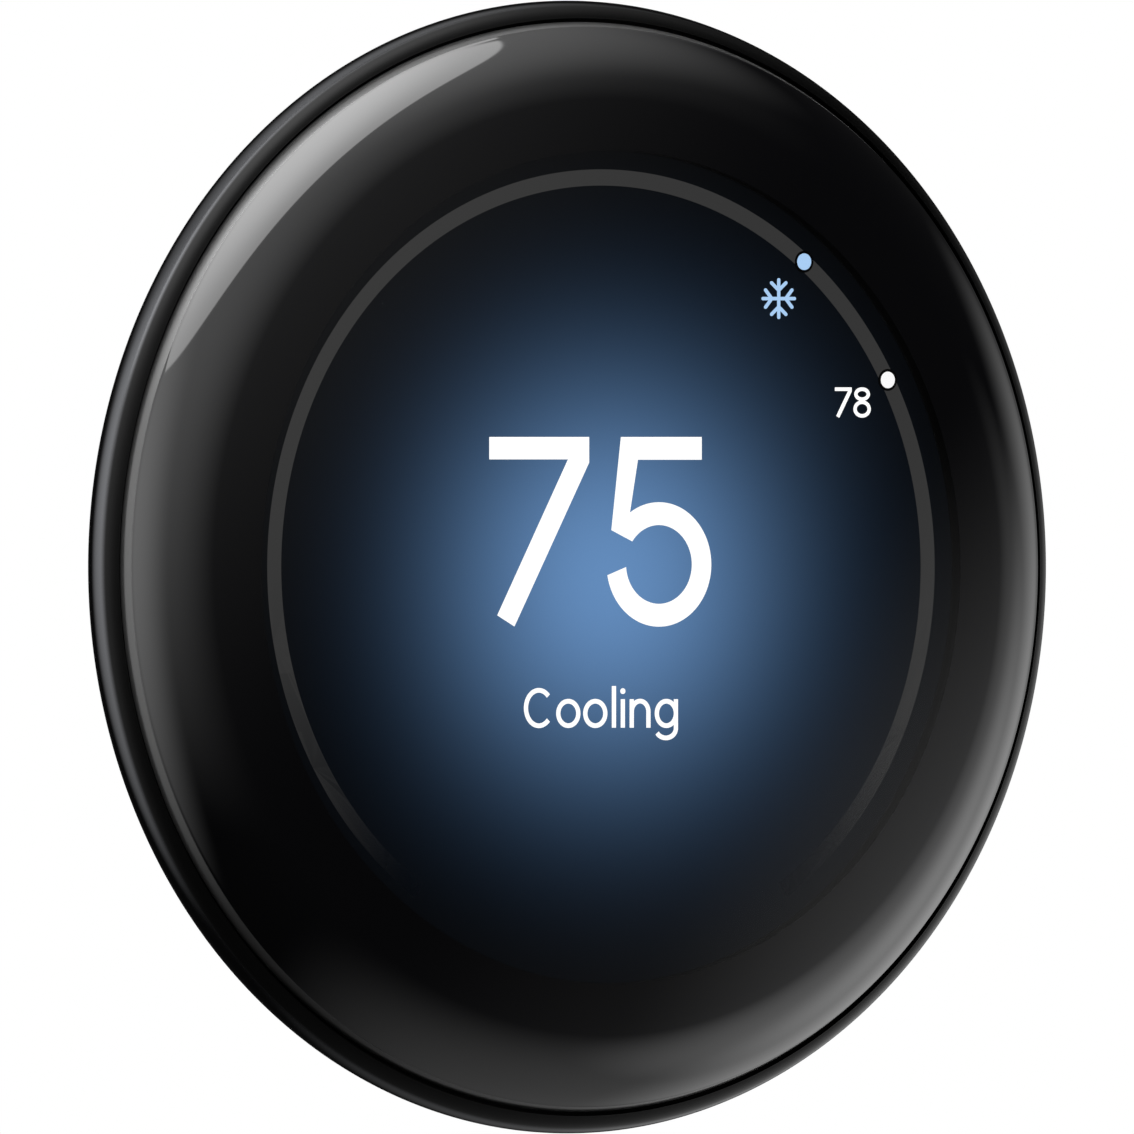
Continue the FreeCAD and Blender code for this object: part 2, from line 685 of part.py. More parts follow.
def make_housing():
    """Rear housing: tapered skirt, floor, collar, inner sleeve, standoffs, guide posts and pegs."""
    inner_floor = f"{tapered(FLOOR_TOP)} - skirt_wall"
    inner_under = f"{tapered(FLOOR_BOTTOM)} - skirt_wall"
    collar_end = f"({FLOOR_BOTTOM} - collar_depth)"
    points = [("0", FLOOR_BOTTOM),
              (COLLAR_INNER, FLOOR_BOTTOM),
              (COLLAR_INNER, collar_end),
              (COLLAR_R, collar_end),
              (COLLAR_R, FLOOR_BOTTOM),
              (inner_under, FLOOR_BOTTOM),
              (f"{tapered(SKIRT_BOTTOM)} - skirt_wall", SKIRT_BOTTOM),
              (tapered(SKIRT_BOTTOM), SKIRT_BOTTOM),
              (tapered(SKIRT_TOP), SKIRT_TOP),
              (f"{tapered(SKIRT_TOP)} - skirt_wall", SKIRT_TOP),
              (inner_floor, FLOOR_TOP),
              ("0", FLOOR_TOP)]
    sleeve = hoop(f"{SLEEVE_R} - sleeve_wall", SLEEVE_R, f"{FLOOR_TOP} - fit_clearance",
                  f"{RETAINER_TOP} - sleeve_drop")
    solids = [turned(points), sleeve]
    window = "+ 2 * socket_wall + 2 * socket_clearance"
    holes = [block("0", "-plug_offset", f"{FLOOR_BOTTOM} - 1", f"tongue_width {window}",
                   f"tongue_depth {window}", "floor_thickness + 2")]
    for angle in BOARD_SCREW_ANGLES:
        x, y = around(BOARD_SCREW_R, angle)
        solids.append(cylinder("standoff_radius", FLOOR_TOP, "standoff_height", x, y))
        bite = "(board_screw_length - board_thickness + fit_clearance)"
        holes.append(cylinder("board_screw_radius + fit_clearance", f"{BOARD_BOTTOM} - {bite}",
                              f"{bite} + 1", x, y))
    for angle in GUIDE_ANGLES:
        x, y = around(GUIDE_R, angle)
        solids.append(cylinder("guide_post_radius", FLOOR_TOP, f"{GUIDE_POST_TOP} - {FLOOR_TOP}", x, y))
        holes.append(cylinder("guide_thread_radius + fit_clearance",
                              f"{GUIDE_POST_TOP} - guide_thread_length - fit_clearance",
                              "guide_thread_length + 1", x, y))
    for angle in COIL_ANGLES:
        x, y = around(COIL_R, angle)
        solids.append(cylinder("coil_peg_radius", FLOOR_TOP, "coil_peg_height", x, y))
    finish("rear_housing", cut(fuse(solids), holes))


def make_guides():
    """Shoulder screws that the face slides on, and the coil springs that push it out."""
    screws, coils = [], []
    for angle in GUIDE_ANGLES:
        x, y = around(GUIDE_R, angle)
        head_bottom = f"({FLANGE_BOTTOM} + fit_clearance)"
        head = cylinder("guide_head_radius", head_bottom, "guide_head_height", x, y)
        shank = cylinder("guide_screw_radius", GUIDE_POST_TOP, f"{head_bottom} - {GUIDE_POST_TOP}", x, y)
        thread = cylinder("guide_thread_radius", f"{GUIDE_POST_TOP} - guide_thread_length",
                          "guide_thread_length", x, y)
        screws.append(fuse([head, shank, thread]))
    finish("shoulder_screws", group(screws))
    for angle in COIL_ANGLES:
        x, y = around(COIL_R, angle)
        height = f"({FLANGE_BOTTOM} - {FLOOR_TOP} - 2 * coil_wire_radius)"
        path = doc.addObject("Part::Helix", "Helix")
        bind(path, "Radius", "coil_radius")
        bind(path, "Height", height)
        bind(path, "Pitch", f"{height} / coil_turns")
        section = doc.addObject("Part::Circle", "Circle")
        bind(section, "Radius", "coil_wire_radius")
        place(section, "coil_radius", "0", "0", ALONG_Y)
        sweep = doc.addObject("Part::Sweep", "Coil")
        sweep.Sections = [section]
        sweep.Spine = (path, ["Edge1"])
        sweep.Solid = True
        sweep.Frenet = True
        place(sweep, x, y, f"{FLOOR_TOP} + coil_wire_radius")
        coils.append(sweep)
    finish("return_springs", group(coils))


def make_main_board():
    """Main board on its standoffs, with battery, shields, sounder, switch and sockets."""
    board = cylinder(BOARD_R, BOARD_BOTTOM, "board_thickness")
    holes, screws = [], []
    for angle in BOARD_SCREW_ANGLES:
        x, y = around(BOARD_SCREW_R, angle)
        holes.append(cylinder("board_screw_radius + fit_clearance", f"{BOARD_BOTTOM} - 1",
                              "board_thickness + 2", x, y))
        head = cylinder("board_screw_head_radius", BOARD_TOP, "board_screw_head_height", x, y)
        shank = cylinder("board_screw_radius", f"{BOARD_TOP} - board_screw_length",
                         "board_screw_length", x, y)
        screws.append(fuse([head, shank]))
    finish("main_board", cut(board, holes))
    finish("board_screws", group(screws))
    middle = "(battery_offset + battery_length / 2)"
    finish("battery_pad", block("0", middle, BOARD_TOP, "battery_width - 2 * pad_inset",
                                "battery_length - 2 * pad_inset", "pad_thickness"))
    finish("battery", rounded_slab("0", middle, "battery_width", "battery_length", "battery_corner",
                                   f"{BOARD_TOP} + pad_thickness", "battery_thickness"))
    y = "(-can_offset_y - can_side / 2)"
    cans = [block(f"({side} * (can_offset_x + can_side / 2))", y, BOARD_TOP, "can_side", "can_side",
                  "can_height") for side in (-1, 1)]
    finish("shield_cans", group(cans))
    sounder = cylinder("sounder_radius", BOARD_TOP, "sounder_height", "0", "-sounder_offset")
    port = cylinder("sounder_port_radius", f"{BOARD_TOP} + sounder_height / 2", "sounder_height",
                    "0", "-sounder_offset")
    finish("sounder", cut(sounder, [port]))
    body = block("0", "0", BOARD_TOP, "switch_side", "switch_side", "switch_height")
    bore_bottom = f"({BOARD_TOP} + switch_height - switch_bore_depth)"
    bore = cylinder("plunger_radius + plunger_clearance", bore_bottom, "switch_bore_depth + 1")
    finish("tact_switch", cut(body, [bore]))
    finish("switch_plunger", cylinder("plunger_radius", f"{bore_bottom} + plunger_play",
                                      "switch_bore_depth - plunger_play + plunger_rise"))
    finish("flex_socket", block("0", "-flex_offset", BOARD_TOP, "flex_socket_width",
                                "flex_socket_depth", "flex_socket_height"))
    x = f"(-{BOARD_R} - thermistor_gap - thermistor_depth / 2)"
    finish("temperature_sensor", block(x, "0", FLOOR_TOP, "thermistor_depth", "thermistor_length",
                                       "thermistor_height"))
    plug = block("0", "-plug_offset", f"{BOARD_BOTTOM} - plug_height", "plug_width", "plug_depth",
                 "plug_height")
    tongue = block("0", "-plug_offset", f"{BOARD_BOTTOM} - plug_height - tongue_reach", "tongue_width",
                   "tongue_depth", "tongue_reach + plug_height / 2")
    finish("head_plug", fuse([plug, tongue]))


def make_base_plate():
    """Wall plate: floor, tapered wall, wire opening, two wall screw holes and four bosses."""
    points = [("0", "0"),
              (FOOT_RADIUS, "0"),
              (tapered("base_depth"), "base_depth"),
              (f"{tapered('base_depth')} - base_wall", "base_depth"),
              (f"{tapered('plate_thickness')} - base_wall", "plate_thickness"),
              ("0", "plate_thickness")]
    solids = [turned(points)]
    holes = [rounded_slab("0", "0", "wire_opening_width", "wire_opening_height",
                          "wire_opening_corner", "-1", "plate_thickness + 2")]
    for side in (-1, 1):
        holes.append(cylinder("wall_hole_radius", "-1", "plate_thickness + 2", "0",
                              f"({side} * screw_spacing / 2)"))
    for angle in QUARTER_ANGLES:
        x, y = around(COVER_SCREW_R, angle)
        solids.append(cylinder("cover_post_radius", "plate_thickness", "base_standoff", x, y))
        holes.append(cylinder("cover_screw_radius + fit_clearance",
                              f"{BASE_BOARD_BOTTOM} - base_standoff - cover_screw_bite - fit_clearance",
                              "base_standoff + cover_screw_bite + 1", x, y))
    finish("base_plate", cut(fuse(solids), holes))


def screw_wells(bottom, height):
    """Clear bores over the two wall screw holes."""
    return [cylinder("screw_well_radius", bottom, height, "0", f"({side} * screw_spacing / 2)")
            for side in (-1, 1)]


def make_base_board():
    """Board of the base, with its relays."""
    board = cylinder(BASE_BOARD_R, BASE_BOARD_BOTTOM, "base_board_thickness")
    bottom, height = f"{BASE_BOARD_BOTTOM} - 1", "base_board_thickness + 2"
    margin = "+ 2 * opening_margin"
    holes = [rounded_slab("0", "0", f"wire_opening_width {margin}", f"wire_opening_height {margin}",
                          "wire_opening_corner", bottom, height)]
    holes += screw_wells(bottom, height)
    for angle in QUARTER_ANGLES:
        x, y = around(COVER_SCREW_R, angle)
        holes.append(cylinder("cover_screw_radius + fit_clearance", bottom, height, x, y))
    finish("base_board", cut(board, holes))
    relays = [block(f"({across} * relay_x)", f"({up} * relay_y)", BASE_BOARD_TOP, "relay_width",
                    "relay_depth", "relay_height") for across in (-1, 1) for up in (-1, 1)]
    finish("power_switches", group(relays))


def lever_window(side, row, gap, bottom, height):
    """Box round one lever, wider by the gaps."""
    middle = f"({side} * ({TERMINAL_OUT} - lever_end_gap - lever_length / 2))"
    return block(middle, f"({row} * lever_pitch)", bottom, f"(lever_length + 2 * {gap})",
                 "(lever_width + 2 * lever_side_gap)", height)


def make_terminals():
    """Two rows of six sprung lever terminals, mirrored left and right."""
    leaves = []
    for side, name in ((-1, "left"), (1, "right")):
        middle = f"({side} * ({TERMINAL_OUT} + {TERMINAL_IN}) / 2)"
        body = block(middle, "0", BASE_BOARD_TOP, "terminal_width", f"2 * {HALF_ROW}", "terminal_height")
        holes = []
        for row in LEVER_ROWS:
            y = f"({row} * lever_pitch)"
            floor = f"({TERMINAL_TOP} - recess_depth)"
            recess_length = "(lever_length - 2 * hub_inset + lever_end_gap)"
            recess_middle = f"({side} * ({TERMINAL_IN} + lever_end_gap * 4 + {recess_length} / 2))"
            holes.append(block(recess_middle, y, floor, f"({recess_length} + 2 * lever_end_gap)",
                               "(lever_width + 2 * lever_side_gap)", "recess_depth + 1"))
            half = "(lever_width / 2 + lever_side_gap)"
            holes.append(cylinder_along_y("hub_radius + hub_clearance", f"{y} - {half}",
                                          f"2 * {half}", f"({side} * {PIVOT_X})", TERMINAL_TOP))
            start = TERMINAL_IN if side > 0 else f"-{TERMINAL_IN} - wire_bore_depth"
            extra = " - 1" if side > 0 else ""
            holes.append(cylinder_along_x("wire_bore_radius", f"{start}{extra}", "wire_bore_depth + 1",
                                          y, f"{BASE_BOARD_TOP} + wire_bore_height"))
            leaves.append(block(recess_middle, y, floor, "leaf_length", "leaf_width", "leaf_thickness"))
            make_lever(side, name, row)
        finish(f"terminal_block_{name}", cut(body, holes))
    finish("clamp_springs", group(leaves))


def make_lever(side, name, row):
    """One release lever: a key above a half-seated hub at its outer end."""
    y = f"({row} * lever_pitch)"
    top = f"({COVER_TOP} + lever_proud)"
    middle = f"({side} * ({TERMINAL_OUT} - lever_end_gap - lever_length / 2))"
    key = block(middle, y, f"{top} - lever_thickness", "lever_length", "lever_width", "lever_thickness")
    hub = cylinder_along_y("hub_radius", f"{y} - lever_width / 2", "lever_width",
                           f"({side} * {PIVOT_X})", TERMINAL_TOP)
    web_height = f"({top} - lever_thickness - {TERMINAL_TOP} + 0.4)"
    web = block(f"({side} * {PIVOT_X})", y, TERMINAL_TOP, "2 * hub_radius * 0.8", "lever_width",
                web_height)
    finish(f"lever_{name}_{int(row + 3.5)}", fuse([key, hub, web]))


def make_base_cover():
    """Cover of the base: wall, top with windows, screw posts and a cradle for the level."""
    wall = turned([(COVER_INNER, "plate_thickness"),
                   (COVER_R, "plate_thickness"),
                   (COVER_R, COVER_TOP),
                   ("0", COVER_TOP),
                   ("0", COVER_UNDER),
                   (COVER_INNER, COVER_UNDER)])
    solids, holes, screws = [wall], [], []
    under = f"{COVER_UNDER} - 1"
    through = "cover_top + 2"
    for angle in QUARTER_ANGLES:
        x, y = around(COVER_SCREW_R, angle)
        solids.append(cylinder("cover_post_radius", BASE_BOARD_TOP,
                               f"{COVER_UNDER} - {BASE_BOARD_TOP} + fit_clearance", x, y))
        holes.append(cylinder("cover_screw_radius + fit_clearance", f"{BASE_BOARD_TOP} - 1",
                              f"{COVER_TOP} - {BASE_BOARD_TOP} + 2", x, y))
        head_bottom = f"({COVER_TOP} - cover_screw_head_height)"
        holes.append(cylinder("cover_screw_head_radius + head_clearance", head_bottom,
                              "cover_screw_head_height + 1", x, y))
        tip = f"({BASE_BOARD_BOTTOM} - base_standoff - cover_screw_bite)"
        head = cylinder("cover_screw_head_radius", head_bottom, "cover_screw_head_height - 0.1", x, y)
        shank = cylinder("cover_screw_radius", tip, f"{head_bottom} - {tip}", x, y)
        screws.append(fuse([head, shank]))
    floor = f"({COVER_UNDER} - cradle_depth)"
    solids.append(block("0", "vial_offset", floor, "vial_length + 2 * cradle_wall",
                        "2 * vial_radius + 2 * cradle_wall", "cradle_depth + fit_clearance"))
    holes.append(cylinder_along_x("vial_radius + vial_clearance", "-vial_length / 2 - vial_clearance",
                                  "vial_length + 2 * vial_clearance", "vial_offset", COVER_UNDER))
    holes.append(block("0", "vial_offset", COVER_UNDER, "vial_length + 2 * vial_clearance",
                       "2 * vial_radius + 2 * vial_clearance", "cover_top + 1"))
    holes += screw_wells(f"{BASE_BOARD_TOP} - 1", f"{COVER_TOP} - {BASE_BOARD_TOP} + 2")
    holes.append(rounded_slab("0", "0", "cover_window_width", "cover_window_height",
                              "wire_opening_corner", under, through))
    grow = "+ 2 * socket_wall + 2 * socket_clearance + 2 * window_margin"
    holes.append(block("0", "-plug_offset", under, f"tongue_width {grow}", f"tongue_depth {grow}", through))
    for side in (-1, 1):
        for row in LEVER_ROWS:
            holes.append(lever_window(side, row, "lever_end_gap", under, through))
    finish("base_cover", cut(fuse(solids), holes))
    finish("cover_screws", group(screws))
    finish("level_vial", cylinder_along_x("vial_radius", "-vial_length / 2", "vial_length",
                                          "vial_offset", COVER_UNDER))


def make_base_details():
    """Socket of the base and the spring clips that hold the collar of the head."""
    wide = "+ 2 * socket_wall + 2 * socket_clearance"
    room = "+ 2 * socket_clearance"
    height = f"({COVER_TOP} - socket_drop - {BASE_BOARD_TOP})"
    body = block("0", "-plug_offset", BASE_BOARD_TOP, f"tongue_width {wide}", f"tongue_depth {wide}", height)
    cavity = block("0", "-plug_offset", f"{BASE_BOARD_TOP} + socket_floor", f"tongue_width {room}",
                   f"tongue_depth {room}", f"{height}")
    finish("base_socket", cut(body, [cavity]))
    clips = []
    for angle in QUARTER_ANGLES:
        low = "(plate_thickness + fit_clearance)"
        top = f"({low} + clip_height)"
        bump = f"({top} - 3 * clip_bump)"
        outer = f"({COVER_R} + clip_thickness)"
        points = [(COVER_R, low), (outer, low), (outer, bump), (f"{outer} + clip_bump", f"{bump} + clip_bump"),
                  (outer, f"{bump} + 2 * clip_bump"), (outer, top), (COVER_R, top)]
        clip = turned(points, angle="clip_angle")
        clip.Placement = FreeCAD.Placement(FreeCAD.Vector(), FreeCAD.Rotation(FreeCAD.Vector(0, 0, 1), angle))
        clips.append(clip)
    finish("retention_clips", group(clips))


def check_document():
    """Stop on any failed object, before anything is written."""
    for item in doc.Objects:
        if "Invalid" in item.State or "Error" in item.State:
            raise RuntimeError(f"{item.Label} ({item.TypeId}) failed: {item.State}")
    for item in nodes:
        if item.Shape.isNull() or not item.Shape.isValid() or not item.Shape.Solids:
            raise RuntimeError(f"{item.Label} has no valid solid")


def write_parts():
    os.makedirs("parts", exist_ok=True)
    for item in nodes:
        item.Shape.exportStep(f"parts/{item.Label}.step")
        size = item.Shape.optimalBoundingBox(False)
        print(f"{item.Label:22s} solids {len(item.Shape.Solids):2d} volume {item.Shape.Volume:9.2f} "
              f"x {size.XMin:7.2f} {size.XMax:7.2f} y {size.YMin:7.2f} {size.YMax:7.2f} "
              f"z {size.ZMin:7.2f} {size.ZMax:7.2f}")


def main():
    fill_sheet()
    make_glass()
    make_ring()
    make_encoder()
    make_carrier()
    make_bearing()
    make_display()
    make_border_sensors()
    make_housing()
    make_guides()
    make_main_board()
    make_base_plate()
    make_base_board()
    make_terminals()
    make_base_cover()
    make_base_details()
    doc.recompute()
    check_document()
    write_parts()


main()
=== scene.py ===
import json
import math

import bpy
import numpy as np
from bpy.props import FloatProperty, FloatVectorProperty, PointerProperty
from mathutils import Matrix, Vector


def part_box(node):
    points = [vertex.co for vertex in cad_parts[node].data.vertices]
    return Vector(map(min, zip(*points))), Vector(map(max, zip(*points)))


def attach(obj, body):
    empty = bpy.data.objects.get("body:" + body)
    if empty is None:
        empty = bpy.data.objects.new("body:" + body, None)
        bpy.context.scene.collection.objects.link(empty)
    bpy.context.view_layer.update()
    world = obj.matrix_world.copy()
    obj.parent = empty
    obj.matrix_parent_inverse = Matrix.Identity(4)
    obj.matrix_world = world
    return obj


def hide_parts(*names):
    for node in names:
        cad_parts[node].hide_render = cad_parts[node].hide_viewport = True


bl_info = {
    "name": "Wall thermostat finisher",
    "version": (1, 0, 0),
    "blender": (4, 5, 0),
    "location": "3D View > Sidebar > Thermostat",
    "description": "Finishes, glass, rim and display of a round wall thermostat",
    "category": "Object",
}

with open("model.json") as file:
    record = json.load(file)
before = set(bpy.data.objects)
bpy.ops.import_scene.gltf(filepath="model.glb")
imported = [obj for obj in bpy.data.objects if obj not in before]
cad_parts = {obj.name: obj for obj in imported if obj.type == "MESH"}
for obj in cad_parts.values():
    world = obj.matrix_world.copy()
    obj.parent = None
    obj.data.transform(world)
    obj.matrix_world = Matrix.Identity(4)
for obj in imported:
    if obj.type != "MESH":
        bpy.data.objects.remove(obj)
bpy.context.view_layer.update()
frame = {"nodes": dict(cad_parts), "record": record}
MM = 0.001
GLASS_INDEX = 1.5
SLOTS = {entry["node"]: entry["material_slot"] for entry in frame["record"]["subparts"]}
GLASS_LOW, GLASS_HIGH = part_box("cover_glass")
RING_LOW, RING_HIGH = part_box("outer_ring")
LCD_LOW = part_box("lcd_cell")[0]
VIAL_LOW, VIAL_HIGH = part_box("level_vial")


# ---------------------------------------------------------------- shader maths

class Value:
    """A shader socket that plain Python sums can use; each sum adds one Math node."""

    def __init__(self, shader, socket):
        self.shader = shader
        self.socket = socket

    def _with(self, operation, first, second):
        return self.shader.math(operation, first, second)

    def __add__(self, other):
        return self._with("ADD", self, other)

    def __radd__(self, other):
        return self._with("ADD", other, self)

    def __sub__(self, other):
        return self._with("SUBTRACT", self, other)

    def __rsub__(self, other):
        return self._with("SUBTRACT", other, self)

    def __mul__(self, other):
        return self._with("MULTIPLY", self, other)

    def __rmul__(self, other):
        return self._with("MULTIPLY", other, self)

    def __truediv__(self, other):
        return self._with("DIVIDE", self, other)

    def __rtruediv__(self, other):
        return self._with("DIVIDE", other, self)

    def __pow__(self, other):
        return self._with("POWER", self, other)

    def __rpow__(self, other):
        return self._with("POWER", other, self)

    def __neg__(self):
        return self._with("MULTIPLY", self, -1.0)


class Shader:
    """One material's node tree, built by short calls."""

    def __init__(self, name):
        self.material = bpy.data.materials.new(name)
        self.material.use_nodes = True
        self.tree = self.material.node_tree
        self.tree.nodes.clear()

    def node(self, kind, settings=None, inputs=None, output=0):
        """Adds a node: settings first, then values or links of its inputs; returns one output."""
        made = self.tree.nodes.new(kind)
        for name, setting in (settings or {}).items():
            setattr(made, name, setting)
        for name, value in (inputs or {}).items():
            self.feed(made.inputs[name], value)
        return Value(self, made.outputs[output])

    def feed(self, socket, value):
        if isinstance(value, Value):
            self.tree.links.new(value.socket, socket)
        elif value is not None:
            socket.default_value = value

    def math(self, operation, *values):
        return self.node("ShaderNodeMath", {"operation": operation}, dict(enumerate(values)))

    def place(self):
        """Object coordinates."""
        return self.node("ShaderNodeTexCoord", output="Object")

    def axes(self):
        """x, y and z of the Object coordinates, in millimetres."""
        split = self.tree.nodes.new("ShaderNodeSeparateXYZ")
        self.feed(split.inputs[0], self.place())
        return [Value(self, socket) * 1000.0 for socket in split.outputs]

    def radius(self):
        """Distance from the thermostat's axis, in millimetres."""
        x, _, z = self.axes()
        return self.math("SQRT", x * x + z * z)

    def step(self, value, low, high):
        """0 below low, 1 above high, smooth between."""
        inputs = {"Value": value, "From Min": low, "From Max": high}
        return self.node("ShaderNodeMapRange", {"interpolation_type": "SMOOTHSTEP"}, inputs)

    def noise(self, scale, detail=3.0, stretch=None):
        place = self.place()
        if stretch:
            place = self.node("ShaderNodeMapping", inputs={"Vector": place, "Scale": stretch})
        return self.node("ShaderNodeTexNoise",
                         inputs={"Vector": place, "Scale": scale, "Detail": detail})

    def mix(self, factor, first, second):
        """Colour between two colours."""
        made = self.tree.nodes.new("ShaderNodeMix")
        made.data_type = "RGBA"
        self.feed(made.inputs["Factor"], factor)
        self.feed(made.inputs[6], first)
        self.feed(made.inputs[7], second)
        return Value(self, made.outputs[2])

    def dot(self, first, second):
        return self.node("ShaderNodeVectorMath", {"operation": "DOT_PRODUCT"},
                         {0: first, 1: second}, 1)

    def bump(self, height, strength, distance):
        return self.node("ShaderNodeBump", inputs={"Height": height, "Strength": strength,
                                                   "Distance": distance})

    def surface(self, **inputs):
        """Principled surface; names use underscores for spaces."""
        named = {name.replace("_", " "): value for name, value in inputs.items()}
        return self.node("ShaderNodeBsdfPrincipled", inputs=named)

    def blend(self, factor, first, second):
        """Mix Shader of two surfaces."""
        return self.node("ShaderNodeMixShader", inputs={0: factor, 1: first, 2: second})

    def done(self, surface):
        output = self.tree.nodes.new("ShaderNodeOutputMaterial")
        self.feed(output.inputs["Surface"], surface)
        return self.material


def grey(level):
    return (level, level, level, 1.0)


# ---------------------------------------------------------------- mesh makers

def mesh_piece(name, points, faces, body, material, sharp=30.0):
    """Object at the origin from arrays of points and faces, in metres, riding on a body."""
    mesh = bpy.data.meshes.new(name)
    mesh.from_pydata(points.tolist(), [], [tuple(face) for face in faces])
    mesh.update()
    mesh.shade_smooth()
    mesh.set_sharp_from_angle(angle=math.radians(sharp))
    mesh.materials.append(material)
    piece = bpy.data.objects.new(name, mesh)
    bpy.context.scene.collection.objects.link(piece)
    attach(piece, body)
    return piece


def grid_faces(rows, columns, wrap_rows, wrap_columns):
    """Four-cornered faces of a rows by columns grid, closed along either way."""
    i = np.arange(rows if wrap_rows else rows - 1)
    j = np.arange(columns if wrap_columns else columns - 1)
    i, j = np.meshgrid(i, j, indexing="ij")
    i, j = i.ravel(), j.ravel()
    down, right = (i + 1) % rows, (j + 1) % columns
    return np.stack([i * columns + j, i * columns + right, down * columns + right,
                     down * columns + j], axis=1)


def arc(centre, radius, start, end, count):
    """Points of an arc: centre plus radius times cosine and sine of angles from start to end."""
    angles = np.radians(np.linspace(start, end, count))
    return np.stack([centre[0] + radius * np.cos(angles),
                     centre[1] + radius * np.sin(angles)], axis=1)


def lathe(profile, segments):
    """Closed surface of revolution about the Y axis.

    profile is a closed loop of radius and distance from the wall, in millimetres, run so that
    its inside is on the left; a point at angle a is (r cos a, -w, r sin a)."""
    loop = np.asarray(profile, float) * MM
    angles = np.linspace(0, 2 * np.pi, segments, endpoint=False)
    r, w = loop[:, 0][:, None], loop[:, 1][:, None]
    x, z = r * np.cos(angles), r * np.sin(angles)
    y = np.broadcast_to(-w, x.shape)
    points = np.stack([x, y, z], axis=2).reshape(-1, 3)
    return points, grid_faces(len(loop), segments, True, True)


def dome(profile, segments):
    """Closed surface of revolution whose open profile starts and ends on the axis."""
    loop = np.asarray(profile, float) * MM
    inner = loop[1:-1]
    points, faces = lathe(inner / MM, segments)
    faces = faces[: (len(inner) - 1) * segments]
    first, last = len(points), len(points) + 1
    points = np.vstack([points, [[0, -loop[0, 1], 0]], [[0, -loop[-1, 1], 0]]])
    turn = np.arange(segments)
    after = (turn + 1) % segments
    base = (len(inner) - 1) * segments
    caps = [(first, b, a) for a, b in zip(turn.tolist(), after.tolist())]
    caps += [(last, base + a, base + b) for a, b in zip(turn.tolist(), after.tolist())]
    return points, faces.tolist() + caps


def plate(outline, low, high):
    """Flat plate: an outline in x and z, in millimetres, between two distances from the wall.

    Half the sum of the cross products of neighbouring points gives the turning sense."""
    loop = np.asarray(outline, float) * MM
    ahead = np.roll(loop, -1, axis=0)
    if np.sum(loop[:, 0] * ahead[:, 1] - loop[:, 1] * ahead[:, 0]) < 0:
        loop = loop[::-1]
    count = len(loop)
    back = np.stack([loop[:, 0], np.full(count, -low * MM), loop[:, 1]], axis=1)
    front = back.copy()
    front[:, 1] = -high * MM
    points = np.vstack([back, front])
    sides = [(i, (i + 1) % count, count + (i + 1) % count, count + i) for i in range(count)]
    return points, [tuple(range(count))[::-1], tuple(range(count, 2 * count))] + sides


def stroke(path, width, low, high, closed=False, caps=0):
    """Line of even width along a path in x and z: each point moves half the width either way
    along the mitred normal; caps adds that many points of a round end."""
    path = np.asarray(path, float)
    if closed:
        before, after = np.roll(path, 1, axis=0), np.roll(path, -1, axis=0)
    else:
        before = np.vstack([2 * path[0] - path[1], path[:-1]])
        after = np.vstack([path[1:], 2 * path[-1] - path[-2]])
    one, two = path - before, after - path
    one /= np.linalg.norm(one, axis=1)[:, None]
    two /= np.linalg.norm(two, axis=1)[:, None]
    normal = np.stack([-(one + two)[:, 1], (one + two)[:, 0]], axis=1)
    normal /= np.linalg.norm(normal, axis=1)[:, None]
    side = np.stack([-two[:, 1], two[:, 0]], axis=1)
    reach = width / 2 / np.maximum(np.sum(normal * side, axis=1), 0.3)
    left, right = path + normal * reach[:, None], path - normal * reach[:, None]
    if closed:
        return ring_plate(left, right, low, high)
    if caps:
        loop = [round_end(path[-1], two[-1], width, caps), left[::-1][1:-1],
                round_end(path[0], -two[0], width, caps), right[1:-1]]
        return plate(np.vstack(loop), low, high)
    return plate(np.vstack([right, left[::-1]]), low, high)


def round_end(tip, direction, width, count):
    """Half circle about a tip, from its right side round to its left."""
    start = math.degrees(math.atan2(direction[1], direction[0]))
    return arc(tip, width / 2, start - 90, start + 90, count)


def ring_plate(left, right, low, high):
    """Flat closed band between two loops of as many points."""
    count = len(left)
    loops = []
    for loop, height in ((left, low), (right, low), (right, high), (left, high)):
        loops.append(np.stack([loop[:, 0], np.full(count, -height), loop[:, 1]], axis=1) * MM)
    return np.vstack(loops), grid_faces(4, count, True, True)


def joined(parts):
    """One list of points and faces from several."""
    points, faces, shift = [], [], 0
    for part_points, part_faces in parts:
        points.append(np.asarray(part_points))
        faces += [tuple(int(corner) + shift for corner in face) for face in part_faces]
        shift += len(part_points)
    return np.vstack(points), faces


# ---------------------------------------------------------------- finishes

def moulded_plastic(name, colour, roughness, grain):
    """Moulded plastic: faint cloudy colour, fine spark-eroded grain in the bump."""
    shader = Shader(name)
    cloud = shader.noise(60.0)
    dark = tuple(level * 0.86 for level in colour[:3]) + (1.0,)
    base = shader.mix(cloud, dark, colour)
    fine = shader.noise(grain, 2.0)
    rough = roughness + (fine - 0.5) * 0.12
    normal = shader.bump(fine, 0.25, 0.00008)
    return shader.done(shader.surface(Base_Color=base, Roughness=rough, Normal=normal))


def brushed_metal(name, colour, roughness):
    """Metal with fine marks drawn along one way and a slow change of sheen."""
    shader = Shader(name)
    marks = shader.noise(900.0, 4.0, (1.0, 1.0, 0.04))
    cloud = shader.noise(45.0)
    dark = tuple(level * 0.78 for level in colour[:3]) + (1.0,)
    base = shader.mix(cloud, dark, colour)
    rough = roughness + (marks - 0.5) * 0.18
    normal = shader.bump(marks, 0.12, 0.00004)
    return shader.done(shader.surface(Base_Color=base, Metallic=1.0, Roughness=rough,
                                      Normal=normal))


